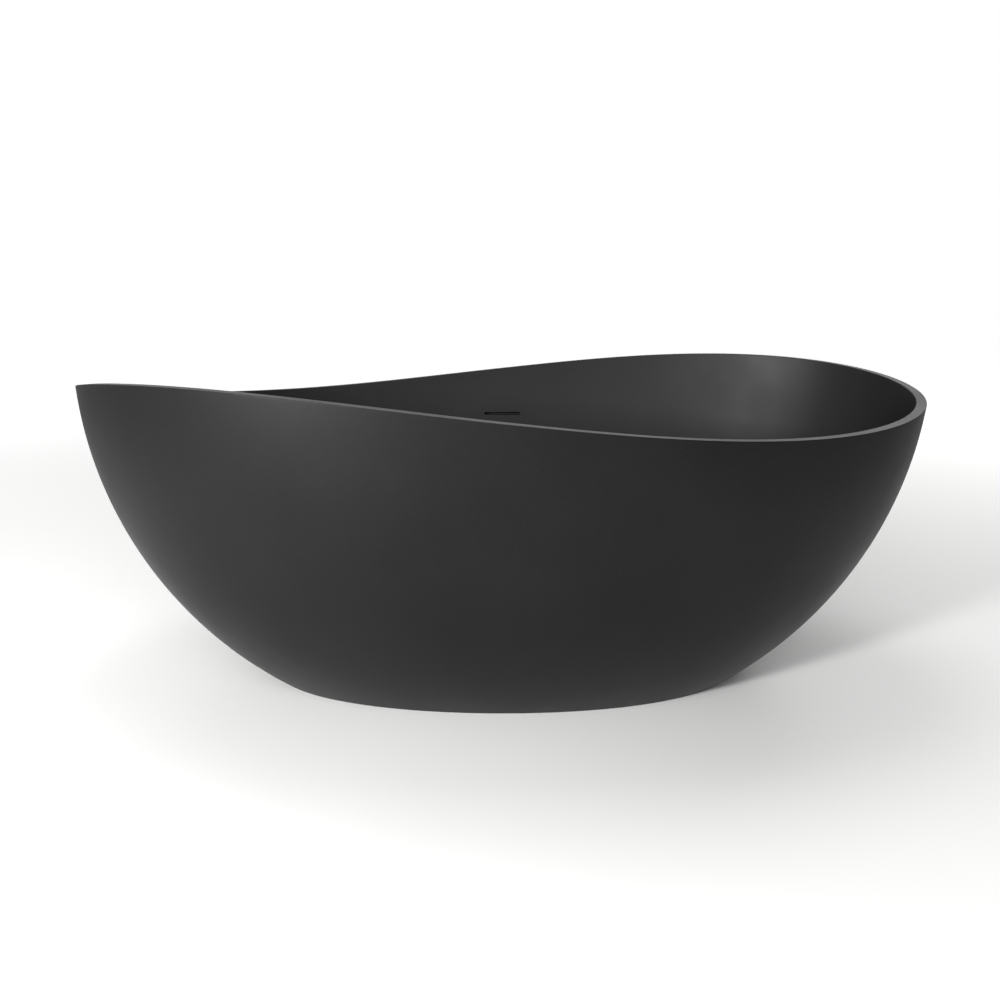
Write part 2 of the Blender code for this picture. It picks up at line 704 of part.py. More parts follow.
def make_upper_seal(finish):
    bottom = WASTE_RECESS_TOP + GAP
    top = bottom + SEAL_THICKNESS
    profile = [
        (SEAL_INNER_RADIUS, bottom),
        (SEAL_OUTER_RADIUS, bottom),
        (SEAL_OUTER_RADIUS, top),
        (SEAL_INNER_RADIUS, top),
    ]
    return turned("upper_seal", profile, finish, sides=WIDE_SIDES)


def make_lower_seal(finish):
    bottom = LOWER_SEAL_BOTTOM
    top = bottom + LOWER_SEAL_THICKNESS
    bore = WASTE_TUBE_RADIUS + 2 * GAP
    profile = [(bore, bottom), (NUT_RADIUS, bottom), (NUT_RADIUS, top), (bore, top)]
    return turned("lower_seal", profile, finish, sides=WIDE_SIDES)


def make_back_nut(finish):
    bore = WASTE_TUBE_RADIUS + GAP
    middle = NUT_BOTTOM + NUT_HEIGHT * 0.6
    profile = [
        (bore, NUT_BOTTOM),
        (NUT_RADIUS * 0.88, NUT_BOTTOM, "hex"),
        (NUT_RADIUS * 0.88, middle, "hex"),
        (NUT_RADIUS * 1.05, middle),
        (NUT_RADIUS * 1.05, NUT_BOTTOM + NUT_HEIGHT),
        (bore, NUT_BOTTOM + NUT_HEIGHT),
    ]
    return turned("back_nut", profile, finish, sides=WIDE_SIDES)


def make_waste_tee(finish):
    socket = WASTE_TUBE_RADIUS + GAP
    outlet_bore = TAIL_RADIUS + GAP
    profile = [
        (TEE_RADIUS, TEE_TOP),
        (TEE_RADIUS, TEE_BOTTOM),
        (OUTLET_RADIUS, TEE_BOTTOM),
        (OUTLET_RADIUS, OUTLET_END),
    ]
    tee = turned("waste_tee", profile, finish, sides=WIDE_SIDES, ring_shaped=False)
    port = [(0.0, TEE_RADIUS / 2, SIDE_PORT_HEIGHT), (0.0, SPIGOT_REACH, SIDE_PORT_HEIGHT)]
    combine(tee, rod("tee_port", port, SPIGOT_RADIUS, finish), "UNION")
    channel = [
        (socket, TEE_TOP + 0.002),
        (socket, TEE_TOP - TEE_SOCKET_DEPTH),
        (WASTE_BORE_RADIUS, TEE_TOP - TEE_SOCKET_DEPTH),
        (WASTE_BORE_RADIUS, TEE_BOTTOM + TEE_WALL),
        (outlet_bore, TEE_BOTTOM + TEE_WALL),
        (outlet_bore, OUTLET_END - 0.002),
    ]
    combine(tee, turned("tee_channel", channel, finish, sides=WIDE_SIDES, ring_shaped=False), "DIFFERENCE")
    bore = [(0.0, 0.002, SIDE_PORT_HEIGHT), (0.0, SPIGOT_REACH + 0.002, SIDE_PORT_HEIGHT)]
    combine(tee, rod("port_channel", bore, SPIGOT_RADIUS - SPIGOT_WALL, finish), "DIFFERENCE")
    return tee


def make_tail_washer(finish):
    top = OUTLET_END - GAP
    bore = TAIL_RADIUS + GAP
    profile = [
        (bore, top - TAIL_WASHER_THICKNESS),
        (OUTLET_RADIUS, top - TAIL_WASHER_THICKNESS),
        (OUTLET_RADIUS, top),
        (bore, top),
    ]
    return turned("tail_washer", profile, finish, sides=WIDE_SIDES)


def make_tail_nut(finish):
    step = OUTLET_END - 2 * GAP - TAIL_WASHER_THICKNESS
    top = step + TAIL_NUT_HEIGHT - TAIL_NUT_WALL
    bottom = step - 0.004
    bore = TAIL_RADIUS + GAP
    wide = OUTLET_RADIUS + GAP
    outer = wide + TAIL_NUT_WALL
    profile = [(bore, bottom), (outer, bottom), (outer, top), (wide, top), (wide, step), (bore, step)]
    return turned("tail_nut", profile, finish, sides=WIDE_SIDES)


def make_tailpiece(finish):
    top = OUTLET_END + OUTLET_LENGTH * 0.6
    inner = TAIL_RADIUS - TAIL_WALL
    profile = [(inner, TAIL_END_HEIGHT), (TAIL_RADIUS, TAIL_END_HEIGHT), (TAIL_RADIUS, top), (inner, top)]
    return turned("tailpiece", profile, finish, sides=WIDE_SIDES)


# The overflow, between the castings at the middle of one long side

def between_castings(height):
    return (side_of_basin_back(height) + side_of_shell(height)) / 2


def fall_of_side(y, x, half_length):
    """How much closer to the middle a side with this half-width is, this far along it."""
    return y * (1 - (1 - abs(x / half_length) ** SQUARENESS) ** (1 / SQUARENESS))


def slab(name, half_width, levels, finish):
    """A closed box whose front and back follow the castings; levels hold (height, front y, back y)."""
    rings = []
    for height, front, back in levels:
        length = float(wall_half_length(height))
        fronts = [front - fall_of_side(front, x, length) for x in (-half_width, 0.0, half_width)]
        backs = [back - fall_of_side(back, half_width, length)] * 2
        rings.append(
            np.array(
                [
                    (-half_width, fronts[0], height),
                    (0.0, fronts[1], height),
                    (half_width, fronts[2], height),
                    (half_width, backs[0], height),
                    (-half_width, backs[1], height),
                ]
            )
        )
    return loft(name, rings, finish, capped=True)


def gasket_front(height):
    return side_of_basin_back(height) + 2 * GAP


def make_overflow_gasket(finish):
    centre = slot_height()
    reach = SLOT_HEIGHT / 2 + COLLECTOR_MARGIN
    heights = (centre - reach, centre, centre + reach)
    levels = [(h, gasket_front(h), gasket_front(h) + GASKET_THICKNESS) for h in heights]
    gasket = slab("overflow_gasket", SLOT_LENGTH / 2 + COLLECTOR_MARGIN, levels, finish)
    front = gasket_front(centre)
    window = rounded_slot(
        "gasket_cutter",
        SLOT_LENGTH / 2 + 0.001,
        SLOT_HEIGHT / 2 + 0.001,
        front - 0.010,
        front + 0.010,
        centre,
        finish,
    )
    combine(gasket, window, "DIFFERENCE")
    return gasket


def collector_levels(shrink):
    """(height, front, back) of the collector's outside, or of its cavity when shrunk by the wall."""
    centre = slot_height()
    top = centre + SLOT_HEIGHT / 2 + COLLECTOR_MARGIN - shrink
    bottom = centre - COLLECTOR_DROP + shrink
    levels = []
    for height in np.linspace(bottom, top, 4):
        front = gasket_front(height) + GASKET_THICKNESS + 2 * GAP + shrink
        back = side_of_shell(height) - COLLECTOR_BACK_CLEARANCE - shrink
        levels.append((float(height), front, back))
    return levels


def collector_axis(drop):
    """A point of the line that leaves the collector's foot and runs down between the castings."""
    height = slot_height() - COLLECTOR_DROP - drop
    return (0.0, between_castings(height), height)


def make_overflow_box(finish):
    half = SLOT_LENGTH / 2 + COLLECTOR_MARGIN
    box = slab("overflow_box", half, collector_levels(0.0), finish)
    start, middle, end = (collector_axis(drop) for drop in (-0.006, 0.035, COLLECTOR_SPIGOT_LENGTH))
    combine(box, rod("box_spigot", [start, middle, end], SPIGOT_RADIUS, finish), "UNION")
    combine(box, slab("box_cavity", half - COLLECTOR_WALL, collector_levels(COLLECTOR_WALL), finish), "DIFFERENCE")
    bore = [collector_axis(drop) for drop in (-0.010, 0.035, COLLECTOR_SPIGOT_LENGTH + 0.006)]
    combine(box, rod("spigot_bore", bore, SPIGOT_RADIUS - SPIGOT_WALL, finish), "DIFFERENCE")
    front = gasket_front(slot_height())
    window = rounded_slot(
        "box_cutter",
        SLOT_LENGTH / 2,
        SLOT_HEIGHT / 2,
        front - 0.008,
        front + GASKET_THICKNESS + COLLECTOR_WALL + 0.004,
        slot_height(),
        finish,
    )
    combine(box, window, "DIFFERENCE")
    return box


def hose_route():
    """Down between the castings, then under the basin to the tee: a smooth curve through a few points."""
    start = slot_height() - COLLECTOR_DROP - HOSE_START_DROP
    falling = [(between_castings(h), h) for h in np.linspace(start, 0.19, 6)]
    knee_y = side_of_shell(0.10) - 2.6 * HOSE_RADIUS
    turning = [(knee_y + 0.008, 0.118), (knee_y - 0.050, SIDE_PORT_HEIGHT + 0.006)]
    flat = [(SPIGOT_REACH + 0.020, SIDE_PORT_HEIGHT), (SPIGOT_REACH - SPIGOT_GRIP, SIDE_PORT_HEIGHT)]
    knots = np.array(falling + turning + flat)
    return smooth_curve(knots, 26)


def smooth_curve(knots, count):
    """A natural cubic through the knots, by distance along them, read at evenly spaced points."""
    steps = np.linalg.norm(np.diff(knots, axis=0), axis=1)
    along = np.concatenate([[0.0], np.cumsum(steps)])
    size = len(along)
    system = np.eye(size)
    right = np.zeros_like(knots)
    for i in range(1, size - 1):
        system[i, i - 1 : i + 2] = steps[i - 1], 2 * (steps[i - 1] + steps[i]), steps[i]
        right[i] = 6 * ((knots[i + 1] - knots[i]) / steps[i] - (knots[i] - knots[i - 1]) / steps[i - 1])
    bend = np.linalg.solve(system, right)
    wanted = np.linspace(0.0, along[-1], count)
    i = np.clip(np.searchsorted(along, wanted, side="right") - 1, 0, size - 2)
    step = (along[i + 1] - along[i])[:, None]
    before = (wanted - along[i])[:, None]
    after = step - before
    curve = (bend[i] * after**3 + bend[i + 1] * before**3) / (6 * step)
    curve += (knots[i] / step - bend[i] * step / 6) * after
    curve += (knots[i + 1] / step - bend[i + 1] * step / 6) * before
    return np.column_stack([np.zeros(count), curve])


def make_overflow_hose(finish):
    return pipe("overflow_hose", hose_route(), HOSE_RADIUS, HOSE_BORE, finish)


def make_hose_clamp(name, path, finish):
    inner = HOSE_RADIUS + GAP
    return pipe(name, path, inner + CLAMP_WALL, inner, finish, sides=SIDES)


def make_hose_clamps(finish):
    route = hose_route()
    steps = np.linalg.norm(np.diff(route, axis=0), axis=1)
    along = np.concatenate([[0.0], np.cumsum(steps)])

    def stretch(centre):
        wanted = np.array([centre - CLAMP_WIDTH / 2, centre + CLAMP_WIDTH / 2])
        return np.column_stack([np.interp(wanted, along, route[:, axis]) for axis in range(3)])

    make_hose_clamp("hose_clamp_upper", stretch(SPIGOT_GRIP / 2), finish)
    make_hose_clamp("hose_clamp_lower", stretch(along[-1] - SPIGOT_GRIP / 2), finish)


def main():
    for leftover in list(bpy.data.objects):
        bpy.data.objects.remove(leftover)
    stone = material("matt black stone resin", (0.055, 0.055, 0.056), 0.62)
    glass_fibre = material("glass-fibre board", (0.42, 0.40, 0.34), 0.7)
    timber = material("softwood block", (0.46, 0.33, 0.19), 0.75)
    steel = material("zinc-plated steel", (0.62, 0.62, 0.60), 0.35, 1.0)
    brass = material("turned brass", (0.70, 0.52, 0.26), 0.32, 1.0)
    chrome = material("chromed brass", (0.75, 0.75, 0.76), 0.12, 1.0)
    rubber = material("black rubber", (0.03, 0.03, 0.03), 0.8)
    white_plastic = material("white polypropylene", (0.74, 0.74, 0.72), 0.45)
    black_plastic = material("black polypropylene", (0.03, 0.03, 0.03), 0.5)
    grey_plastic = material("grey corrugated hose", (0.45, 0.46, 0.47), 0.5)

    make_outer_shell(stone)
    make_inner_basin(stone)
    make_base_board(glass_fibre)
    for number, place in enumerate(block_places(), 1):
        make_support_block(number, place, timber)
        make_block_screw(number, place, steel)
    for number, place in enumerate(foot_places(), 1):
        make_foot_insert(number, place, brass)
        make_foot_locknut(number, place, steel)
        make_foot_stud(number, place, steel)
        make_foot_pad(number, place, rubber)
    make_waste_plug(stone)
    make_plug_seal(rubber)
    make_plug_stem(chrome)
    make_latch_cartridge(brass)
    make_plug_spring(steel)
    make_waste_flange(chrome)
    make_upper_seal(rubber)
    make_lower_seal(rubber)
    make_back_nut(brass)
    make_waste_tee(white_plastic)
    make_tail_washer(rubber)
    make_tail_nut(white_plastic)
    make_tailpiece(white_plastic)
    make_overflow_gasket(rubber)
    make_overflow_box(black_plastic)
    make_overflow_hose(grey_plastic)
    make_hose_clamps(steel)


main()
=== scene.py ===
"""Looks of a freestanding oval bathtub of cast stone resin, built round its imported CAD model."""

import logging
import math
from dataclasses import dataclass, field
from enum import Enum
from typing import Any, Callable, Sequence

import bmesh
import bpy
import numpy as np
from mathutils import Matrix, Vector


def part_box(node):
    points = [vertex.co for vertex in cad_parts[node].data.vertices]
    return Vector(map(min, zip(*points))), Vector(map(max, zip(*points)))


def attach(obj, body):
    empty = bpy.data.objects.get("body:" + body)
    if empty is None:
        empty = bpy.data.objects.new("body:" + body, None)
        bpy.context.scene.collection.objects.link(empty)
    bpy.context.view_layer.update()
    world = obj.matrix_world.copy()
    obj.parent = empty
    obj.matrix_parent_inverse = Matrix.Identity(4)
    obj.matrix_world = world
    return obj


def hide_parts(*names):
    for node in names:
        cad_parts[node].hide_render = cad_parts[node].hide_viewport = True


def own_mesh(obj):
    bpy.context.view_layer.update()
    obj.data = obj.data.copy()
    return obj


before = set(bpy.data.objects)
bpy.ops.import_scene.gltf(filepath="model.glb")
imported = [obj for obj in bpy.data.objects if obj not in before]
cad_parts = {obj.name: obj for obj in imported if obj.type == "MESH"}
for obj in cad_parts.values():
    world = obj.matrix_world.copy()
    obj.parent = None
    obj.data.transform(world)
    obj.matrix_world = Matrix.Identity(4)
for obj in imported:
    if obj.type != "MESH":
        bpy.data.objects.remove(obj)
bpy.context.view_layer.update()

TUB = "tub"
PLUG = "plug"
TURN = 2 * math.pi

Point = tuple[float, float]
Outline = Sequence[Point]
Array = np.ndarray
Cut = Callable[[Array, Array, Array], Array]  # takes radii, heights and angles, and gives radii
Piece = bpy.types.Object
Tree = bpy.types.NodeTree
Socket = bpy.types.NodeSocket

log = logging.getLogger("bathtub")


class Ends(Enum):
    """How a skin of rings is closed."""

    LOOP = "the last ring joins the first"
    CAPS = "a flat face closes each end"


# Meshes


def mesh_piece(name: str, points: Array, faces: list[tuple[int, ...]]) -> Piece:
    """Makes an object at the origin from points and faces, with its faces turned outwards.

    Args:
        name: the piece's name.
        points: one row of x, y and z for each point, in metres.
        faces: point numbers of each face.

    Returns:
        The new object, linked to the scene.
    """
    mesh = bpy.data.meshes.new(name)
    mesh.from_pydata(points.tolist(), [], faces)
    shape = bmesh.new()
    shape.from_mesh(mesh)
    bmesh.ops.recalc_face_normals(shape, faces=shape.faces)
    shape.to_mesh(mesh)
    shape.free()
    piece = bpy.data.objects.new(name, mesh)
    bpy.context.scene.collection.objects.link(piece)
    return piece


def smooth(piece: Piece, degrees: float = 32.0) -> Piece:
    """Shades a piece smooth, with its edges sharp where faces meet at more than this angle.

    Args:
        piece: the object to shade.
        degrees: the least turn at a sharp edge.

    Returns:
        The same object.
    """
    piece.data.shade_smooth()
    piece.data.set_sharp_from_angle(angle=math.radians(degrees))
    return piece


def skin(name: str, rings: Array, ends: Ends) -> Piece:
    """Stretches a closed skin over rings of equal count.

    The face at row r and column c joins the points (r, c), (r, c+1), (r+1, c+1) and (r+1, c), with the
    columns counted round.

    Args:
        name: the piece's name.
        rings: points by row, column and axis.
        ends: how the first and last rings are closed.

    Returns:
        The new object.
    """
    rows, count, _ = rings.shape
    last = rows if ends is Ends.LOOP else rows - 1
    row, column = np.meshgrid(np.arange(last), np.arange(count), indexing="ij")
    above = (row + 1) % rows
    after = (column + 1) % count
    corners = [row * count + column, row * count + after, above * count + after, above * count + column]
    faces = np.stack(corners, axis=-1).reshape(-1, 4).tolist()
    if ends is Ends.CAPS:
        faces.append(list(range(count))[::-1])
        faces.append(list(range((rows - 1) * count, rows * count)))
    return smooth(mesh_piece(name, rings.reshape(-1, 3), faces))


def rounded(outline: Outline, radius: float, closed: bool = True, steps: int = 4) -> Array:
    """Rounds an outline's corners and puts points close beside each bend, so that flats shade flat.

    Each corner becomes a curve that runs from a point before it to one after it, as the quadratic
    (1-t)^2 p + 2t(1-t) q + t^2 r for t from 0 to 1. A corner never takes over 0.4 of a side.

    Args:
        outline: the corners.
        radius: how far from the corner the curve starts, in metres.
        closed: whether the last corner joins the first.
        steps: how many stretches each curve has.

    Returns:
        The finer outline, one row for each point.
    """
    corners = np.asarray(outline, float)
    t = np.linspace(0.0, 1.0, steps + 1)[:, None]
    pieces = []
    for index, corner in enumerate(corners):
        if not closed and index in (0, len(corners) - 1):
            pieces.append(corner[None, :])
            continue
        before = corners[index - 1] - corner
        after = corners[(index + 1) % len(corners)] - corner
        lengths = np.linalg.norm(before), np.linalg.norm(after)
        reach = min(radius, 0.4 * min(lengths))
        start = corner + before / lengths[0] * reach
        end = corner + after / lengths[1] * reach
        guard = [
            corner + side / length * min(reach * 1.25, 0.45 * length)
            for side, length in ((before, lengths[0]), (after, lengths[1]))
        ]
        curve = (1 - t) ** 2 * start + 2 * t * (1 - t) * corner + t**2 * end
        pieces.append(np.concatenate([guard[:1], curve, guard[1:]]))
    return np.concatenate(pieces)


def lathe(
    name: str,
    outline: Array,
    centre: Point = (0.0, 0.0),
    ends: Ends = Ends.LOOP,
    sides: int = 96,
    cut: Cut | None = None,
) -> Piece:
    """Turns an outline about a vertical axis: x = r cos a, y = r sin a, z = h.

    Args:
        name: the piece's name.
        outline: rows of radius and height.
        centre: x and y of the axis.
        ends: LOOP for a ring-shaped piece, CAPS for a solid one.
        sides: points round the axis.
        cut: takes the radii, heights and angles, and gives the radii of the flats, threads or ribs.

    Returns:
        The new object.
    """
    angle = np.linspace(0, TURN, sides, endpoint=False)[None, :]
    radius = np.broadcast_to(outline[:, :1], (len(outline), sides))
    if cut is not None:
        radius = cut(radius, outline[:, 1:2] + 0 * angle, angle + 0 * radius)
    x = centre[0] + radius * np.cos(angle)
    y = centre[1] + radius * np.sin(angle)
    z = np.broadcast_to(outline[:, 1:2], radius.shape)
    return skin(name, np.stack([x, y, z], axis=-1), ends)


def across_corners(half_flats: float) -> float:
    """Half of a hexagon's width across its corners, from half of that across its flats."""
    return half_flats / math.cos(TURN / 12)


def hexagon(half_flats: float, low: float, high: float) -> Cut:
    """Cuts six flats into a turned piece between two heights.

    A flat stands at r = f / cos(a'), where a' is the angle from the nearest flat's middle, and a point
    keeps its own radius where that is less.

    Args:
        half_flats: half of the width across the flats.
        low: where the flats start.
        high: where they end.

    Returns:
        The cut, for lathe.
    """

    def cut(radius: Array, height: Array, angle: Array) -> Array:
        """Gives the radii, no further out than the flats within the two heights.

        Args:
            radius: the radius at each point.
            height: each point's height.
            angle: each point's angle.

        Returns:
            The radii after the cut.
        """
        sixth = TURN / 6
        from_middle = angle % sixth - sixth / 2
        flat = half_flats / np.cos(from_middle)
        inside = (height > low) & (height < high)
        return np.where(inside, np.minimum(radius, flat), radius)

    return cut


def thread(pitch: float, depth: float, low: float, high: float) -> Cut:
    """Cuts a helical thread between two heights: the radius loses depth times a triangle wave.

    The wave's phase is h / pitch - a / (a full turn), and its depth fades over one pitch at each end.

    Args:
        pitch: the rise in one turn.
        depth: how deep the groove is.
        low: where the thread starts.
        high: where it ends.

    Returns:
        The cut, for lathe.
    """

    def cut(radius: Array, height: Array, angle: Array) -> Array:
        """Gives the radii with the groove taken out.

        Args:
            radius: the radius at each point.
            height: each point's height.
            angle: each point's angle.

        Returns:
            The radii after the cut.
        """
        phase = (height / pitch - angle / TURN) % 1.0
        groove = 1 - np.abs(2 * phase - 1)
        fade = np.clip((height - low) / pitch, 0, 1) * np.clip((high - height) / pitch, 0, 1)
        return radius - depth * groove * fade

    return cut


def in_turn(*cuts: Cut) -> Cut:
    """Several cuts made one after the other.

    Args:
        *cuts: the cuts, first one first.

    Returns:
        One cut that does them all.
    """

    def cut(radius: Array, height: Array, angle: Array) -> Array:
        """Gives the radii after every cut.

        Args:
            radius: the radius at each point.
            height: each point's height.
            angle: each point's angle.

        Returns:
            The radii after the cut.
        """
        for one in cuts:
            radius = one(radius, height, angle)
        return radius

    return cut


def frames_along(path: Array) -> tuple[Array, Array]:
    """Two unit vectors square to a path that lies in a plane of constant x, at each of its points.

    Args:
        path: points of the path.

    Returns:
        The vectors along x, and the ones square to them and to the path.
    """
    along = np.gradient(path, axis=0)
    along /= np.linalg.norm(along, axis=1)[:, None]
    across = np.broadcast_to(np.array([1.0, 0.0, 0.0]), path.shape)
    return across, np.cross(along, across)


def rings_round(path: Array, radii: Any, sides: int) -> Array:
    """Circles round a path: p + r (cos a u + sin a v), with u and v square to it.

    Args:
        path: points of the middle line.
        radii: one radius for each point, or one for all.
        sides: points in a circle.

    Returns:
        Points by ring, place round the ring, and axis.
    """
    across, up = frames_along(path)
    angle = np.linspace(0, TURN, sides, endpoint=False)[None, :, None]
    around = np.cos(angle) * across[:, None, :] + np.sin(angle) * up[:, None, :]
    return path[:, None, :] + np.asarray(radii)[..., None, None] * around


def sweep(name: str, path: Array, outer: Array, inner: Array, sides: int = 28) -> Piece:
    """A hollow tube along a path, down its outside and back up its inside.

    Args:
        name: the piece's name.
        path: points of its middle line.
        outer: its outer radius at each point.
        inner: its bore's radius at each point.
        sides: points round it.

    Returns:
        The new object.
    """
    rings = [rings_round(path, outer, sides), rings_round(path, inner, sides)[::-1]]
    return skin(name, np.concatenate(rings), Ends.LOOP)


def block(name: str, low: Sequence[float], high: Sequence[float], edge: float) -> Piece:
    """A box between two corners with its edges planed off by a bevel.

    Args:
        name: the piece's name.
        low: its lowest corner.
        high: its highest corner.
        edge: the bevel's width.

    Returns:
        The new object.
    """
    span = np.array([low, high], float)
    corners = np.array([[span[i, 0], span[j, 1], span[k, 2]] for k in (0, 1) for j in (0, 1) for i in (0, 1)])
    faces = [(0, 2, 3, 1), (4, 5, 7, 6), (0, 1, 5, 4), (2, 6, 7, 3), (0, 4, 6, 2), (1, 3, 7, 5)]
    piece = mesh_piece(name, corners, faces)
    bevel = piece.modifiers.new("planed edges", "BEVEL")
    bevel.width = edge
    bevel.segments = 2
    return finished(piece)


def finished(piece: Piece) -> Piece:
    """Applies a piece's modifiers by taking its evaluated mesh.

    Args:
        piece: an object with modifiers.

    Returns:
        The same object, with the result as its mesh.
    """
    graph = bpy.context.evaluated_depsgraph_get()
    mesh = bpy.data.meshes.new_from_object(piece.evaluated_get(graph))
    piece.modifiers.clear()
    piece.data = mesh
    return smooth(piece)


def carve(piece: Piece, cutters: Sequence[Piece]) -> Piece:
    """Cuts the cutters' shapes out of a piece for good, and removes the cutters.

    Args:
        piece: the object to cut.
        cutters: closed shapes to take out of it.

    Returns:
        The same object.
    """
    for cutter in cutters:
        cut = piece.modifiers.new("cut", "BOOLEAN")
        cut.operation = "DIFFERENCE"
        cut.solver = "EXACT"
        cut.object = cutter
    bpy.context.view_layer.update()
    finished(piece)
    for cutter in cutters:
        bpy.data.objects.remove(cutter)
    return piece


def joined(name: str, pieces: Sequence[Piece]) -> Piece:
    """Makes one piece of several closed shells.

    Args:
        name: the piece's name.
        pieces: the objects that hold the shells. They are removed.

    Returns:
        The new object.
    """
    shape = bmesh.new()
    for piece in pieces:
        shape.from_mesh(piece.data)
    mesh = bpy.data.meshes.new(name)
    shape.to_mesh(mesh)
    shape.free()
    for piece in pieces:
        bpy.data.objects.remove(piece)
    whole = bpy.data.objects.new(name, mesh)
    bpy.context.scene.collection.objects.link(whole)
    return smooth(whole)


def middle(node: str) -> Point:
    """The x and y of the middle of a CAD node's box."""
    low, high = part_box(node)
    return ((low.x + high.x) / 2, (low.y + high.y) / 2)


def heights(node: str) -> Point:
    """The lowest and highest z of a CAD node."""
    low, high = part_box(node)
    return (low.z, high.z)


def half_width(node: str) -> float:
    """Half of a CAD node's extent along x."""
    low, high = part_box(node)
    return (high.x - low.x) / 2


# Materials


def colour(hex_code: str) -> tuple[float, float, float, float]:
    """Turns an sRGB hex colour into linear red, green, blue and alpha.

    Args:
        hex_code: a # and six digits.

    Returns:
        The linear colour.
    """
    parts = np.array([int(hex_code[i : i + 2], 16) for i in (1, 3, 5)]) / 255
    linear = np.where(parts <= 0.04045, parts / 12.92, ((parts + 0.055) / 1.055) ** 2.4)
    return (*linear.tolist(), 1.0)


def add_node(
    tree: Tree,
    kind: str,
    values: dict[Any, Any] | None = None,
    links: dict[Any, Socket] | None = None,
    **settings: Any,
) -> bpy.types.Node:
    """Adds a node with its settings, its sockets' values and its links.

    Args:
        tree: the material's node tree.
        kind: the node's type.
        values: socket name or number to constant value.
        links: socket name or number to the socket that feeds it.
        **settings: the node's own properties.

    Returns:
        The new node.
    """
    made = tree.nodes.new(kind)
    for key, value in settings.items():
        setattr(made, key, value)
    for key, value in (values or {}).items():
        made.inputs[key].default_value = value
    for key, source in (links or {}).items():
        tree.links.new(source, made.inputs[key])
    return made


@dataclass(frozen=True)
class Finish:
    """What every finish has: two tones, a roughness range, and a surface texture of a real size.

    The tones and the roughness follow a soft pattern of size cloud_mm, and the bump one of grain_mm.
    stretch scales the patterns along x, y and z, so a small number draws them out along that axis.
    """

    name: str
    dark: str
    light: str
    roughness: tuple[float, float]
    metallic: float = 0.0
    specular: float = 0.5
    cloud_mm: float = 40.0
    grain_mm: float = 1.0
    depth_mm: float = 0.02
    stretch: tuple[float, float, float] = (1.0, 1.0, 1.0)

    def make(self) -> bpy.types.Material:
        """Builds the material, or gives back the one that is already built.

        Returns:
            The material.
        """
        ready = bpy.data.materials.get(self.name)
        if ready is not None:
            return ready
        made = bpy.data.materials.new(self.name)
        made.use_nodes = True
        tree = made.node_tree
        shader = tree.nodes["Principled BSDF"]
        shader.inputs["Metallic"].default_value = self.metallic
        if self.metallic < 1:
            shader.inputs["Specular IOR Level"].default_value = self.specular
        where = add_node(tree, "ShaderNodeTexCoord").outputs["Object"]
        place = add_node(tree, "ShaderNodeMapping", {"Scale": self.stretch}, {"Vector": where}).outputs[0]
        tone, rough = self.tones(tree, place)
        tree.links.new(tone, shader.inputs["Base Color"])
        tree.links.new(rough, shader.inputs["Roughness"])
        tree.links.new(self.relief(tree, place), shader.inputs["Normal"])
        return made

    def noise(self, tree: Tree, place: Socket, size_mm: float, detail: float) -> Socket:
        """Soft noise whose blotches are about this size."""
        values = {"Scale": 1000.0 / size_mm, "Detail": detail, "Roughness": 0.55}
        return add_node(tree, "ShaderNodeTexNoise", values, {"Vector": place}).outputs["Fac"]

    def spread(self, tree: Tree, source: Socket, low: float, high: float) -> Socket:
        """Noise between 0.3 and 0.7 stretched to run from low to high."""
        values = {"From Min": 0.3, "From Max": 0.7, "To Min": low, "To Max": high}
        return add_node(tree, "ShaderNodeMapRange", values, {"Value": source}).outputs[0]

    def mix(self, tree: Tree, share: Socket, first: Any, second: Any) -> Socket:
        """A colour between two, each a socket or a hex colour.

        Args:
            tree: the material's node tree.
            share: how much of the second colour, from 0 to 1.
            first: a socket or a hex colour.
            second: a socket or a hex colour.

        Returns:
            The mixed colour socket.
        """
        values: dict[Any, Any] = {}
        links: dict[Any, Socket] = {0: share}
        for socket, source in ((6, first), (7, second)):
            if isinstance(source, str):
                values[socket] = colour(source)
            else:
                links[socket] = source
        return add_node(tree, "ShaderNodeMix", values, links, data_type="RGBA").outputs[2]

    def tones(self, tree: Tree, place: Socket) -> tuple[Socket, Socket]:
        """The colour and roughness sockets.

        Args:
            tree: the material's node tree.
            place: the socket that gives a point's coordinates, in metres.

        Returns:
            The colour socket and the roughness socket.
        """
        cloud = self.noise(tree, place, self.cloud_mm, 3.0)
        tone = self.mix(tree, self.spread(tree, cloud, 0.0, 1.0), self.dark, self.light)
        wear = self.noise(tree, place, self.cloud_mm * 0.45, 5.0)
        return tone, self.spread(tree, wear, *self.roughness)

    def relief(self, tree: Tree, place: Socket) -> Socket:
        """The bump's normal socket.

        Args:
            tree: the material's node tree.
            place: the socket that gives a point's coordinates, in metres.

        Returns:
            The normal socket.
        """
        grain = self.noise(tree, place, self.grain_mm, 2.0)
        values = {"Strength": 1.0, "Distance": self.depth_mm / 1000.0}
        return add_node(tree, "ShaderNodeBump", values, {"Height": grain}).outputs[0]


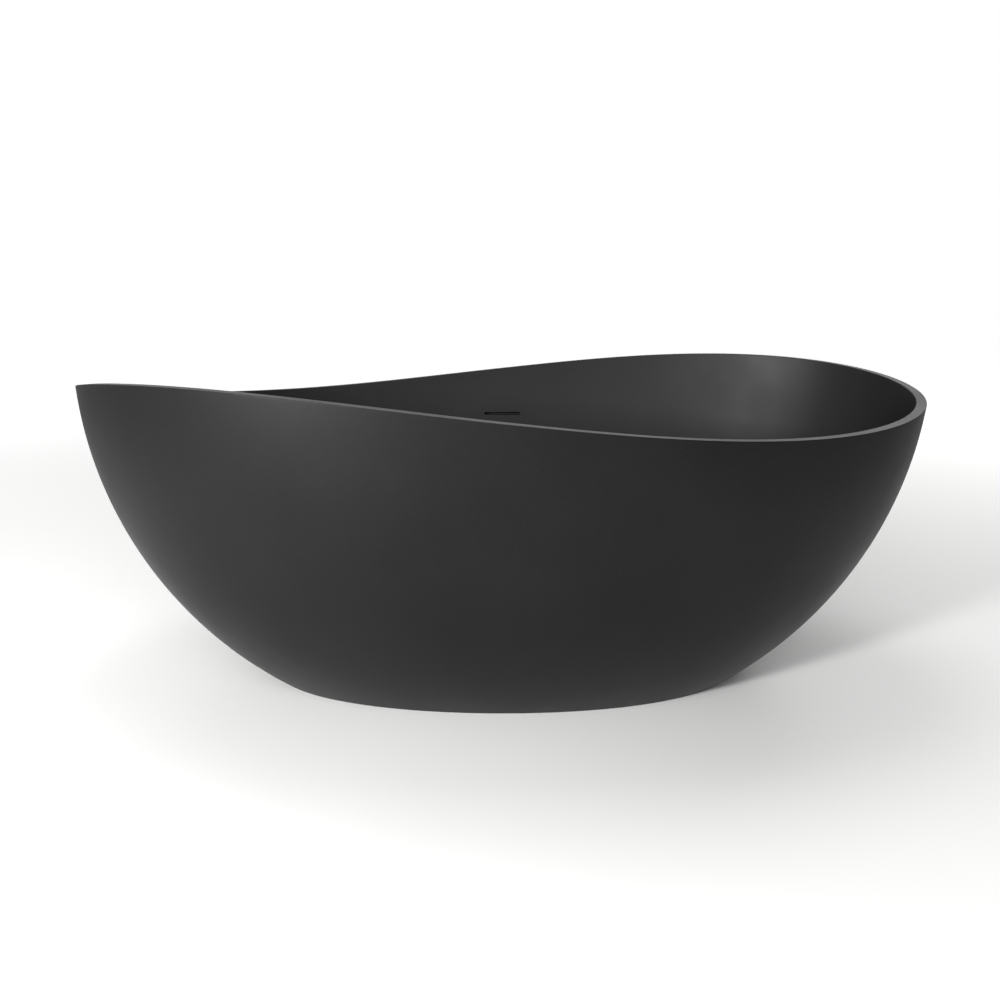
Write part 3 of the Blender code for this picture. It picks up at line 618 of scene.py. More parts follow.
@dataclass(frozen=True)
class StoneResin(Finish):
    """Solid surface: polyester resin filled with ground mineral, cast and then sanded to a matt face.

    The mineral gives fine pale flecks, the casting a slight cloudiness, and the sanding a satin haze
    whose gloss changes over the width of a sanding pad.
    """

    fleck_mm: float = 1.5  # real grains are about 0.3 mm, drawn coarser so that they show
    fleck: str = "#3b3b3d"
    pad_mm: float = 125.0

    def tones(self, tree: Tree, place: Socket) -> tuple[Socket, Socket]:
        """Cloudy black with flecks, and a roughness that drifts with the sanding pad and the grains.

        Args:
            tree: the material's node tree.
            place: the socket that gives a point's coordinates, in metres.

        Returns:
            The colour socket and the roughness socket.
        """
        cloud = self.noise(tree, place, self.cloud_mm, 2.0)
        ground = self.mix(tree, self.spread(tree, cloud, 0.0, 1.0), self.dark, self.light)
        values = {"Scale": 1000.0 / self.fleck_mm, "Randomness": 1.0}
        cells = add_node(tree, "ShaderNodeTexVoronoi", values, {"Vector": place})
        values = {"From Min": 0.12, "From Max": 0.30, "To Min": 0.55, "To Max": 0.0}
        grains = add_node(tree, "ShaderNodeMapRange", values, {"Value": cells.outputs["Distance"]}).outputs[0]
        rare = add_node(tree, "ShaderNodeSeparateColor", {}, {"Color": cells.outputs["Color"]}).outputs[0]
        chosen = add_node(tree, "ShaderNodeMath", {1: 0.62}, {0: rare}, operation="GREATER_THAN").outputs[0]
        mask = add_node(tree, "ShaderNodeMath", {}, {0: grains, 1: chosen}, operation="MULTIPLY").outputs[0]
        tone = self.mix(tree, mask, ground, self.fleck)
        haze = self.spread(tree, self.noise(tree, place, self.pad_mm, 3.0), 0.0, 1.0)
        fine = self.spread(tree, self.noise(tree, place, 2.5, 3.0), 0.0, 1.0)
        both = add_node(
            tree, "ShaderNodeMath", {1: 0.3}, {0: fine, 2: haze}, operation="MULTIPLY_ADD"
        ).outputs[0]
        low, high = self.roughness
        values = {"From Min": 0.0, "From Max": 1.3, "To Min": low, "To Max": high}
        return tone, add_node(tree, "ShaderNodeMapRange", values, {"Value": both}).outputs[0]


@dataclass(frozen=True)
class Softwood(Finish):
    """Sawn spruce: growth rings 4 mm apart seen on the flat, with a saw's furry face."""

    ring_mm: float = 4.0

    def tones(self, tree: Tree, place: Socket) -> tuple[Socket, Socket]:
        """Bands of pale early wood and darker late wood.

        Args:
            tree: the material's node tree.
            place: the socket that gives a point's coordinates, in metres.

        Returns:
            The colour socket and the roughness socket.
        """
        scale = 1000.0 * TURN / 20 / self.ring_mm  # the wave turns 20 radians in a unit of scaled distance
        values = {"Scale": scale, "Distortion": 3.0, "Detail": 3.0, "Detail Scale": 1.5}
        waves = add_node(tree, "ShaderNodeTexWave", values, {"Vector": place}, bands_direction="Y")
        rings = waves.outputs["Fac"]
        return self.mix(tree, rings, self.light, self.dark), super().tones(tree, place)[1]


@dataclass(frozen=True)
class GlassFibreBoard(Finish):
    """Chopped-strand laminate: pale fibres 25 mm long lying every way under a skin of resin."""

    def tones(self, tree: Tree, place: Socket) -> tuple[Socket, Socket]:
        """Stretched noise in two directions, the lighter of the two showing as a strand.

        Args:
            tree: the material's node tree.
            place: the socket that gives a point's coordinates, in metres.

        Returns:
            The colour socket and the roughness socket.
        """
        tone: Any = self.dark
        for turn in (0.5, 2.1, 3.6):
            values = {"Rotation": (0.0, 0.0, turn), "Scale": (0.12, 1.0, 1.0)}
            lie = add_node(tree, "ShaderNodeMapping", values, {"Vector": place}).outputs[0]
            strand = self.spread(tree, self.noise(tree, lie, 2.5, 1.0), -0.9, 0.75)
            clear = add_node(tree, "ShaderNodeClamp", {}, {"Value": strand}).outputs[0]
            tone = self.mix(tree, clear, tone, self.light)
        return tone, super().tones(tree, place)[1]


# The tub's own face: near-black and satin, so that a soft light shows in it as a long dim streak.
STONE = StoneResin(
    "matt black stone resin, cast and sanded",
    dark="#121213",
    light="#161617",
    roughness=(0.40, 0.46),
    specular=0.17,
    cloud_mm=210.0,
    grain_mm=3.0,
    depth_mm=0.006,
)
# Moulded nitrile and EPDM: deep black with a bloom and a fine matt skin.
RUBBER = Finish(
    "black EPDM rubber, moulded", "#161616", "#232323", (0.62, 0.8),
    specular=0.4, grain_mm=0.8, depth_mm=0.03,
)
# Bright zinc on rolled steel: blue-white, with soft patches where the plating took unevenly.
ZINC = Finish(
    "zinc-plated steel", "#a9adae", "#c9cbc8", (0.26, 0.42), 1.0,
    cloud_mm=9.0, grain_mm=0.5, depth_mm=0.01,
)
# Drawn stainless wire and band: fine lines along the draw.
STAINLESS = Finish(
    "stainless steel, drawn", "#b4b5b4", "#cfcfcc", (0.2, 0.34), 1.0,
    cloud_mm=6.0, grain_mm=0.4, depth_mm=0.01,
    stretch=(1.0, 0.15, 1.0),
)
# Free-cutting brass off the lathe: rings round the axis, seen as lines across its height.
BRASS = Finish(
    "brass, turned", "#b08d4c", "#d2b06c", (0.2, 0.36), 1.0, cloud_mm=7.0, grain_mm=0.35, depth_mm=0.012,
    stretch=(0.08, 0.08, 1.0),
)
# Nickel and chromium over polished brass: a mirror with the faintest haze of water marks.
CHROME = Finish(
    "chrome plate on polished brass", "#c6c8ca", "#dadbdc", (0.06, 0.14), 1.0,
    cloud_mm=12.0, grain_mm=6.0, depth_mm=0.004,
)
# Injection-moulded polypropylene: slightly waxy white with a spark-eroded mould's fine skin.
POLYPROPYLENE = Finish(
    "white polypropylene, moulded", "#d3d2cc", "#dedcd6", (0.36, 0.48),
    specular=0.45, grain_mm=0.6, depth_mm=0.015,
)
# The same moulding pigmented black: it takes the light out of the overflow slot.
BLACK_POLYPROPYLENE = Finish(
    "black polypropylene, moulded", "#0c0c0d", "#131314", (0.45, 0.55),
    specular=0.3, grain_mm=0.6, depth_mm=0.015,
)
# Blow-moulded polyethylene hose: even grey with a soft sheen.
HOSE = Finish(
    "grey polyethylene, blow-moulded", "#7f8386", "#8e9294", (0.38, 0.5),
    specular=0.45, grain_mm=1.2, depth_mm=0.02,
)
# Cured laminate: cloudy greenish straw with pale strands lying every way.
BOARD = GlassFibreBoard(
    "glass-fibre laminate", "#8f8b78", "#b6b29f", (0.42, 0.62),
    specular=0.45, cloud_mm=60.0, grain_mm=2.0, depth_mm=0.08,
)
# Fresh-sawn blocks: warm yellow with darker growth bands along the length.
TIMBER = Softwood(
    "spruce, sawn", "#a9804f", "#cfab77", (0.6, 0.8),
    specular=0.3, cloud_mm=30.0, grain_mm=0.7, depth_mm=0.08,
    stretch=(0.25, 1.0, 1.0),
)


class Slot(Enum):
    """The record's material slots, each with the finish that it takes here."""

    STONE_RESIN = STONE
    GLASS_FIBRE_BOARD = BOARD
    TIMBER_BLOCK = TIMBER
    ZINC_PLATED_STEEL = ZINC
    STAINLESS_STEEL = STAINLESS
    TURNED_BRASS = BRASS
    CHROMED_BRASS = CHROME
    BLACK_RUBBER = RUBBER
    GREY_HOSE = HOSE
    WHITE_PLASTIC = POLYPROPYLENE
    BLACK_PLASTIC = BLACK_POLYPROPYLENE


def dress(piece: Piece, slot: Slot, body: str, *nodes: str) -> Piece:
    """Gives a piece its material and says which body it rides on and which CAD nodes it stands for.

    Args:
        piece: the finished object.
        slot: the record's slot that gives its finish.
        body: the CAD body that it moves with.
        *nodes: the CAD nodes that it stands for.

    Returns:
        The same object.
    """
    piece.data.materials.clear()
    piece.data.materials.append(slot.value.make())
    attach(piece, body)
    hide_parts(*nodes)
    log.info("%s: %d faces, for %s", piece.name, len(piece.data.polygons), ", ".join(nodes))
    return piece


def dress_node(node: str, slot: Slot) -> None:
    """Gives a CAD node that stays its material.

    Args:
        node: the CAD node's name.
        slot: the record's slot that gives its finish.
    """
    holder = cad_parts[node]
    holder.data.materials.clear()
    holder.data.materials.append(slot.value.make())
    log.info("%s: kept, in %s", node, slot.value.name)


# The tub


@dataclass(frozen=True)
class TubForm:
    """The shape of the castings, by the same rules as the CAD's. Sizes in metres."""

    length: float = 1.700
    width: float = 0.889
    rim: float = 0.6253
    wave: float = 0.0428
    wave_lean: float = 0.0024
    end_lift: float = 0.0012
    plumb_rise: float = 0.0394
    base_length: float = 0.983
    base_width: float = 0.414
    squareness: float = 2.04
    rim_width: float = 0.0194
    rim_tilt: float = 0.0007
    skirt_wall: float = 0.0091
    basin_wall: float = 0.0100
    lean: float = 0.13
    lip: float = 0.008
    bond: float = 0.030
    floor: float = 0.115
    floor_thickness: float = 0.012
    bowl_round: float = 7.0
    bowl_flat: float = 5.0
    foot_width: float = 0.035
    foot_height: float = 0.018

    def oval(self, half_length: Any, half_width: Any, height: Any, angle: Array) -> Array:
        """A superellipse: x = a c|c|^(2/n - 1) and y = b s|s|^(2/n - 1), where c is cos angle and s its sine.

        Args:
            half_length: a, along x.
            half_width: b, along y.
            height: z of the ring.
            angle: the angle at each point of a ring, in radians.

        Returns:
            One point for each angle.
        """
        power = 2 / self.squareness
        cosine, sine = np.cos(angle), np.sin(angle)
        x = half_length * np.sign(cosine) * np.abs(cosine) ** power
        y = half_width * np.sign(sine) * np.abs(sine) ** power
        return np.stack(np.broadcast_arrays(x, y, height + 0 * x), axis=-1)

    def rim_height(self, angle: Any) -> Any:
        """Mean height, plus a wave of sin 2a, less a little sin 4a, plus a little cos 2a."""
        wave = self.wave * np.sin(2 * angle) - self.wave_lean * np.sin(4 * angle)
        return self.rim + wave + self.end_lift * np.cos(2 * angle)

    def wall_length(self, height: Any) -> Any:
        """Half-length of the outer wall: a sqrt(1 - ((p - z) / d)^2), plumb at height p.

        Args:
            height: z, or an array of it.

        Returns:
            The half-length there.
        """
        plumb = self.rim + self.plumb_rise
        drop = plumb / math.sqrt(1 - (self.base_length / self.length) ** 2)
        return self.length / 2 * np.sqrt(1 - ((plumb - height) / drop) ** 2)

    def wall_width(self, height: Any) -> Any:
        """Half-width of the outer wall: it loses a fixed share of what the half-length loses."""
        share = (self.width - self.base_width) / (2 * self.wall_length(self.rim) - self.base_length)
        return self.base_width / 2 + share * (self.wall_length(height) - self.base_length / 2)

    def wall(self, height: Any, inset: Any, angle: Array) -> Array:
        """A ring that stands this far in from the outer wall."""
        return self.oval(self.wall_length(height) - inset, self.wall_width(height) - inset, height, angle)

    def below_rim(self, inset: float, drop: float, angle: Array) -> Array:
        """A ring that follows the rim's wave, this far in and this far below it."""
        return self.wall(self.rim_height(angle) - drop, inset, angle)

    def share_at(self, rise: Any) -> Any:
        """The bowl's share of full size at a share of its height: (1 - (1 - h)^p)^(1/q)."""
        return (1 - (1 - rise) ** self.bowl_round) ** (1 / self.bowl_flat)

    def rise_at(self, share: Any) -> Any:
        """The bowl's share of height at a share of full size: 1 - (1 - s^q)^(1/p)."""
        return 1 - (1 - share**self.bowl_flat) ** (1 / self.bowl_round)

    def bowl(self, rise: Any, bottom: float, thickness: float, angle: Array) -> Array:
        """A ring of the basin's face, or of its back where thickness is the wall's, part of the way up.

        Args:
            rise: the share of the bowl's height, from 0 to 1.
            bottom: z of the bowl's lowest point.
            thickness: how far behind the face the ring lies.
            angle: the angle at each point of a ring, in radians.

        Returns:
            One point for each angle.
        """
        top = self.rim_height(angle)
        height = bottom + rise * (top - bottom)
        inset = self.rim_width + self.lean * (top - height) - thickness
        share = self.share_at(rise)
        length = (self.wall_length(height) - inset) * share
        return self.oval(length, (self.wall_width(height) - inset) * share, height, angle)

    def face_side(self, x: Array, height: Array) -> Array:
        """The y of the basin's face beside the overflow: y = b (1 - |x/a|^n)^(1/n) at this height.

        Args:
            x: x of each point.
            height: z of each point.

        Returns:
            The y of each point.
        """
        top = self.rim_height(math.pi / 2)
        inset = self.rim_width + self.lean * (top - height)
        share = self.share_at((height - self.floor) / (top - self.floor))
        length = (self.wall_length(height) - inset) * share
        side = (self.wall_width(height) - inset) * share
        return side * (1 - np.abs(x / length) ** self.squareness) ** (1 / self.squareness)


@dataclass
class Castings:
    """The two castings, bonded and sanded so that their joint doesn't show."""

    form: TubForm = field(default_factory=TubForm)
    around: int = 400
    arris: float = 0.0014  # how far the rim's edges are rounded back
    recess_edge: float = 0.0012
    slot_edge: float = 0.0012

    def build(self) -> None:
        """Makes and dresses the outer shell and the inner basin."""
        dress(self.shell(), Slot.STONE_RESIN, TUB, "outer_shell")
        dress(self.basin(), Slot.STONE_RESIN, TUB, "inner_basin")

    @property
    def angle(self) -> Array:
        """The angles of a ring's points."""
        return np.linspace(0, TURN, self.around, endpoint=False)

    def shell(self) -> Piece:
        """The outer wall from the basin's lip down to the foot ring, and back up its inside.

        Returns:
            The new object.
        """
        form, angle = self.form, self.angle
        top = form.rim_height(angle) - form.lip
        shares = 1 - np.linspace(0, 1, 74) ** 0.9
        near_top = [top - step for step in (0.0, 0.0006, 0.002)]
        outside = [form.wall(height, 0.0, angle) for height in near_top]
        outside += [form.wall(0.006 + (top - 0.010) * share, 0.0, angle) for share in shares[1:]]
        foot = rounded([(0.0, 0.006), (0.0, 0.0), (form.foot_width, 0.0)], 0.0008, closed=False)[1:-1]
        outside += [form.wall(max(height, 0.0), inset, angle) for inset, height in foot]
        length = form.base_length / 2 - form.foot_width
        width = form.base_width / 2 - form.foot_width
        corner = [(0.0, 0.0), (0.0, form.foot_height), (-0.006, form.foot_height)]
        ring = rounded(corner, 0.0015, closed=False)
        inner = [form.oval(length + 0.002, width + 0.002, 0.0, angle)]
        inner += [form.oval(length - out, width - out, height, angle) for out, height in ring[:-1]]
        bond = form.rim_height(angle) - form.bond
        rise = bond - form.foot_height
        back = [form.wall(form.foot_height + rise * t, form.skirt_wall, angle) for t in np.linspace(0, 1, 24)]
        back.append(form.wall(top, form.skirt_wall, angle))
        return skin("outer_casting", np.stack(outside + inner + back), Ends.LOOP)

    def basin(self) -> Piece:
        """The waste recess, the floor, the wall, the rim, and the back down to the waste hole again.

        Returns:
            The new object.
        """
        form, angle = self.form, self.angle
        rings = self.recess(angle) + self.floor(angle) + self.wall_rings(angle)
        rings += [form.below_rim(inset, drop, angle) for inset, drop in self.rim_outline()]
        under = form.floor - form.floor_thickness
        rises = np.concatenate([np.linspace(0.86, 0.3, 20), form.rise_at(np.linspace(0.9, 0.3, 14))])
        rings += [form.bowl(rise, under, form.basin_wall, angle) for rise in rises]
        hole = self.hole_radius()
        rings += [form.oval(0, 0, under, angle) + self.circle(radius, angle) for radius in (0.05, hole)]
        basin = skin("inner_casting", np.stack(rings), Ends.LOOP)
        return carve(basin, [self.slot_cutter()])

    def circle(self, radius: float, angle: Array) -> Array:
        """A level circle about the origin."""
        return np.stack([radius * np.cos(angle), radius * np.sin(angle), 0 * angle], axis=-1)

    def hole_radius(self) -> float:
        """The waste hole's radius, from the basin that the CAD cut it in."""
        return half_width("lower_seal") - 0.0075

    def recess(self, angle: Array) -> list[Array]:
        """Circles from the waste hole's wall over the recess and its rounded edge to the floor.

        Args:
            angle: the angle at each point of a ring, in radians.

        Returns:
            One ring for each height.
        """
        low = heights("upper_seal")[0] - 0.0003
        edge = half_width("waste_flange") + 0.0015
        form = self.form
        outline = rounded(
            [
                (self.hole_radius(), form.floor - form.floor_thickness + 0.001),
                (self.hole_radius(), low),
                (edge, low),
                (edge, form.floor),
                (edge + 0.008, form.floor),
            ],
            self.recess_edge,
            closed=False,
        )
        return [self.circle(radius, angle) + np.array([0, 0, height]) for radius, height in outline]

    def floor(self, angle: Array) -> list[Array]:
        """Rings that change from a circle round the recess to the bowl's oval, lying on the bowl.

        Args:
            angle: the angle at each point of a ring, in radians.

        Returns:
            The rings, from the recess outwards.
        """
        form = self.form
        first = self.circle(half_width("waste_flange") + 0.012, angle)
        last = form.bowl(form.rise_at(0.35), form.floor, 0.0, angle)
        rings = []
        for share in np.linspace(0.1, 1, 10):
            ring = first * (1 - share) + last * share
            ring[:, 2] = form.floor + (last[:, 2] - form.floor) * share**4
            rings.append(ring)
        shares = np.linspace(0.37, 0.93, 30)
        return rings + [form.bowl(form.rise_at(share), form.floor, 0.0, angle) for share in shares]

    def wall_rings(self, angle: Array) -> list[Array]:
        """Rings of the bowl's wall, closer together low down where it curves most.

        Args:
            angle: the angle at each point of a ring, in radians.

        Returns:
            The rings, from the floor upwards.
        """
        start = self.form.rise_at(0.94)
        rises = start + (0.955 - start) * np.linspace(0, 1, 56) ** 1.15
        return [self.form.bowl(rise, self.form.floor, 0.0, angle) for rise in rises]

    def rim_outline(self) -> Array:
        """Inset and drop of the rim: its two rounded edges, its flat, and the lip down to the bond.

        Returns:
            Rows of inset and drop.
        """
        form = self.form
        outline = [
            (form.rim_width + form.lean * 0.018, 0.018),
            (form.rim_width, -form.rim_tilt),
            (0.0, 0.0),
            (0.0, form.lip - 0.002),
        ]
        top = rounded(outline, self.arris, closed=False, steps=5)
        lip = [
            (0.0, form.lip - 0.0006),
            (0.0, form.lip),
            (form.skirt_wall, form.lip),
            (form.skirt_wall + 0.0003, form.bond),
        ]
        return np.concatenate([top, lip])

    def slot_cutter(self) -> Piece:
        """A bar with a slot's outline, flared where it meets the basin's face so the slot's edge is round.

        The outline is two half circles joined by straights. At a depth t behind the face it grows by
        e (1 - sqrt(1 - (1 - t / e)^2)) for t under the edge radius e.

        Returns:
            The cutter, for carve.
        """
        form = self.form
        low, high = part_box("overflow_gasket")
        centre = (low.z + high.z) / 2
        half_long = (high.x - low.x) / 2 - 0.008
        half_high = 0.003
        turn = np.linspace(-math.pi / 2, math.pi / 2, 17)
        edge = self.slot_edge
        depths = edge * np.array([-4.0, 0.0, 0.08, 0.2, 0.4, 0.7, 1.0, 14.0])
        rings = []
        for depth in depths:
            share = min(max(depth / edge, 0.0), 1.0)
            grown = edge * (1 - math.sqrt(1 - (1 - share) ** 2))
            radius = half_high + grown
            x = half_long - half_high + radius * np.cos(turn)
            z = radius * np.sin(turn)
            x, z = np.concatenate([x, -x]), centre + np.concatenate([z, -z])
            rings.append(np.stack([x, form.face_side(x, z) + depth, z], axis=-1))
        return skin("slot cutter", np.stack(rings), Ends.CAPS)


# Under the tub


@dataclass
class BaseFrame:
    """The board in the foot ring, its blocks and its screws."""

    form: TubForm = field(default_factory=TubForm)
    access_radius: float = 0.100
    insert_hole: float = 0.0083
    screw_hole: float = 0.0049

    def build(self) -> None:
        """Makes and dresses the board, the blocks and the screws."""
        dress(self.board(), Slot.GLASS_FIBRE_BOARD, TUB, "base_board")
        for number in range(1, 5):
            node = f"support_block_{number}"
            low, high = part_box(node)
            dress(block(f"spruce_block_{number}", low, high, 0.002), Slot.TIMBER_BLOCK, TUB, node)
            dress(self.screw(number), Slot.ZINC_PLATED_STEEL, TUB, f"block_screw_{number}")

    def board(self) -> Piece:
        """An oval board with eased edges and its holes cut through.

        Returns:
            The new object.
        """
        low, high = heights("base_board")
        angle = np.linspace(0, TURN, 240, endpoint=False)
        outline = rounded([(0.004, low), (0.0, low), (0.0, high), (0.004, high)], 0.0008, closed=False)
        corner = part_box("base_board")[1]
        length, width = corner.x, corner.y
        rings = [self.form.oval(length - inset, width - inset, height, angle) for inset, height in outline]
        board = skin("laminate_board", np.stack(rings), Ends.CAPS)
        holes = [((0.0, 0.0), self.access_radius)]
        holes += [(middle(f"foot_insert_{n}"), self.insert_hole) for n in range(1, 5)]
        holes += [(middle(f"block_screw_{n}"), self.screw_hole) for n in range(1, 5)]
        span = np.array([low - 0.004, high + 0.004])
        cutters = [
            lathe("hole", np.column_stack([[radius] * 2, span]), centre, Ends.CAPS, 64)
            for centre, radius in holes
        ]
        return carve(board, cutters)

    def screw(self, number: int) -> Piece:
        """A countersunk wood screw with a coarse thread and a cross recess.

        Args:
            number: the screw's number, from 1 to 4.

        Returns:
            The new object.
        """
        node = f"block_screw_{number}"
        low, high = heights(node)
        head = half_width(node)
        core = 0.0022
        neck = low + 0.0032
        top = np.linspace(neck + 0.001, high - 0.005, 170)
        outline = np.concatenate(
            [
                rounded(
                    [(head * 0.6, low), (head, low), (head, low + 0.0006), (core, neck)], 0.0002, closed=False
                ),
                np.column_stack([np.full(170, core), top]),
                [(core * 0.55, high - 0.002), (0.0002, high)],
            ]
        )
        cut = thread(0.0018, 0.0006, neck + 0.002, high - 0.004)
        screw = lathe(f"countersunk_screw_{number}", outline, middle(node), Ends.CAPS, 28, cut)
        x, y = middle(node)
        arms = [
            block("recess", (x - a, y - b, low - 0.001), (x + a, y + b, low + 0.0018), 0.0001)
            for a, b in ((0.0026, 0.0006), (0.0006, 0.0026))
        ]
        return carve(screw, arms)


@dataclass
class LevellingFoot:
    """One foot: a threaded insert in the board, a stud with a hexagon, a locknut and a rubber pad."""

    number: int
    pitch: float = 0.0015
    thread_depth: float = 0.0009
    half_flats: float = 0.0085
    tapped_bore: float = 0.0053

    def build(self) -> None:
        """Makes and dresses the four pieces of the foot."""
        number = self.number
        dress(self.insert(), Slot.TURNED_BRASS, TUB, f"foot_insert_{number}")
        dress(self.locknut(), Slot.ZINC_PLATED_STEEL, TUB, f"foot_locknut_{number}")
        dress(self.stud(), Slot.ZINC_PLATED_STEEL, f"stud_{number}", f"foot_stud_{number}")
        dress(self.pad(), Slot.BLACK_RUBBER, f"pad_{number}", f"foot_pad_{number}")

    def insert(self) -> Piece:
        """A flanged bush whose barrel bites the board with shallow barbs.

        Returns:
            The new object.
        """
        node = f"foot_insert_{self.number}"
        low, high = heights(node)
        flange = half_width(node)
        bore, barrel = self.tapped_bore, 0.0080
        shoulder = low + 0.003
        barbs = []
        for step in range(5):
            base = shoulder + 0.003 + step * 0.003
            barbs += [(barrel, base), (barrel - 0.0005, base + 0.0001), (barrel, base + 0.0028)]
        outline = [(bore, low), (flange, low), (flange, shoulder), (barrel, shoulder)]
        outline += [*barbs, (barrel, high), (bore, high)]
        return lathe(f"brass_insert_{self.number}", rounded(outline, 0.0003), middle(node), sides=64)

    def locknut(self) -> Piece:
        """A chamfered hexagon nut.

        Returns:
            The new object.
        """
        node = f"foot_locknut_{self.number}"
        low, high = heights(node)
        bore, flats = self.tapped_bore, self.half_flats
        corner = across_corners(flats)
        outline = [
            (bore + 0.0005, low),
            (flats * 0.97, low),
            (corner, low + 0.0009),
            (corner, high - 0.0009),
            (flats * 0.97, high),
            (bore + 0.0005, high),
            (bore, high - 0.0006),
            (bore, low + 0.0006),
        ]
        cut = hexagon(flats, low - 0.001, high + 0.001)
        return lathe(f"lock_nut_{self.number}", rounded(outline, 0.0002), middle(node), sides=96, cut=cut)

    def stud(self) -> Piece:
        """A threaded stud that stands on a ball end, with a hexagon to turn it by.

        Returns:
            The new object.
        """
        node = f"foot_stud_{self.number}"
        low, high = heights(node)
        radius, ball, flats = 0.005, 0.004, self.half_flats
        hex_low, hex_high = low + 0.002, low + 0.008
        corner = across_corners(flats)
        lower = rounded(
            [
                (ball * 0.5, low),
                (ball, low + 0.0008),
                (ball, hex_low),
                (flats * 0.96, hex_low),
                (corner, hex_low + 0.0009),
                (corner, hex_high - 0.0009),
                (flats * 0.96, hex_high),
                (radius, hex_high),
                (radius, hex_high + 0.0008),
            ],
            0.0002,
            closed=False,
        )
        rows = int((high - hex_high) / self.pitch * 9)
        climb = np.linspace(hex_high + 0.001, high - 0.0012, rows)
        upper = np.column_stack([np.full(rows, radius), climb])
        outline = np.concatenate([lower, upper, [(radius * 0.8, high)]])
        cut = in_turn(
            hexagon(flats, hex_low - 0.0001, hex_high + 0.0001),
            thread(self.pitch, self.thread_depth, hex_high + 0.0015, high - 0.001),
        )
        return lathe(f"levelling_stud_{self.number}", outline, middle(node), Ends.CAPS, 48, cut)

    def pad(self) -> Piece:
        """A moulded pad with a socket for the stud, a domed top and a ribbed edge.

        Returns:
            The new object.
        """
        node = f"foot_pad_{self.number}"
        low, high = heights(node)
        radius = half_width(node)
        socket = 0.0043
        outline = rounded(
            [
                (socket * 0.4, high - 0.0020),
                (socket, high - 0.0020),
                (socket, high),
                (radius * 0.46, high),
                (radius * 0.5, high - 0.0008),
                (radius * 0.86, low + 0.0036),
                (radius, low + 0.0026),
                (radius, low),
                (radius * 0.8, low),
                (radius * 0.78, low + 0.0005),
                (radius * 0.3, low + 0.0005),
                (radius * 0.28, low),
                (radius * 0.05, low),
            ],
            0.0004,
            closed=False,
        )

        def ribs(radii: Array, height: Array, angle: Array) -> Array:
            """Shallow grips round the edge: the outer radius loses 0.3 mm times |sin 24a|."""
            outer = np.clip((radii - radius * 0.95) / (radius * 0.05), 0, 1)
            return radii - 0.0003 * outer * np.abs(np.sin(24 * angle))

        return lathe(f"rubber_pad_{self.number}", outline, middle(node), Ends.CAPS, 144, ribs)


# The waste and the overflow


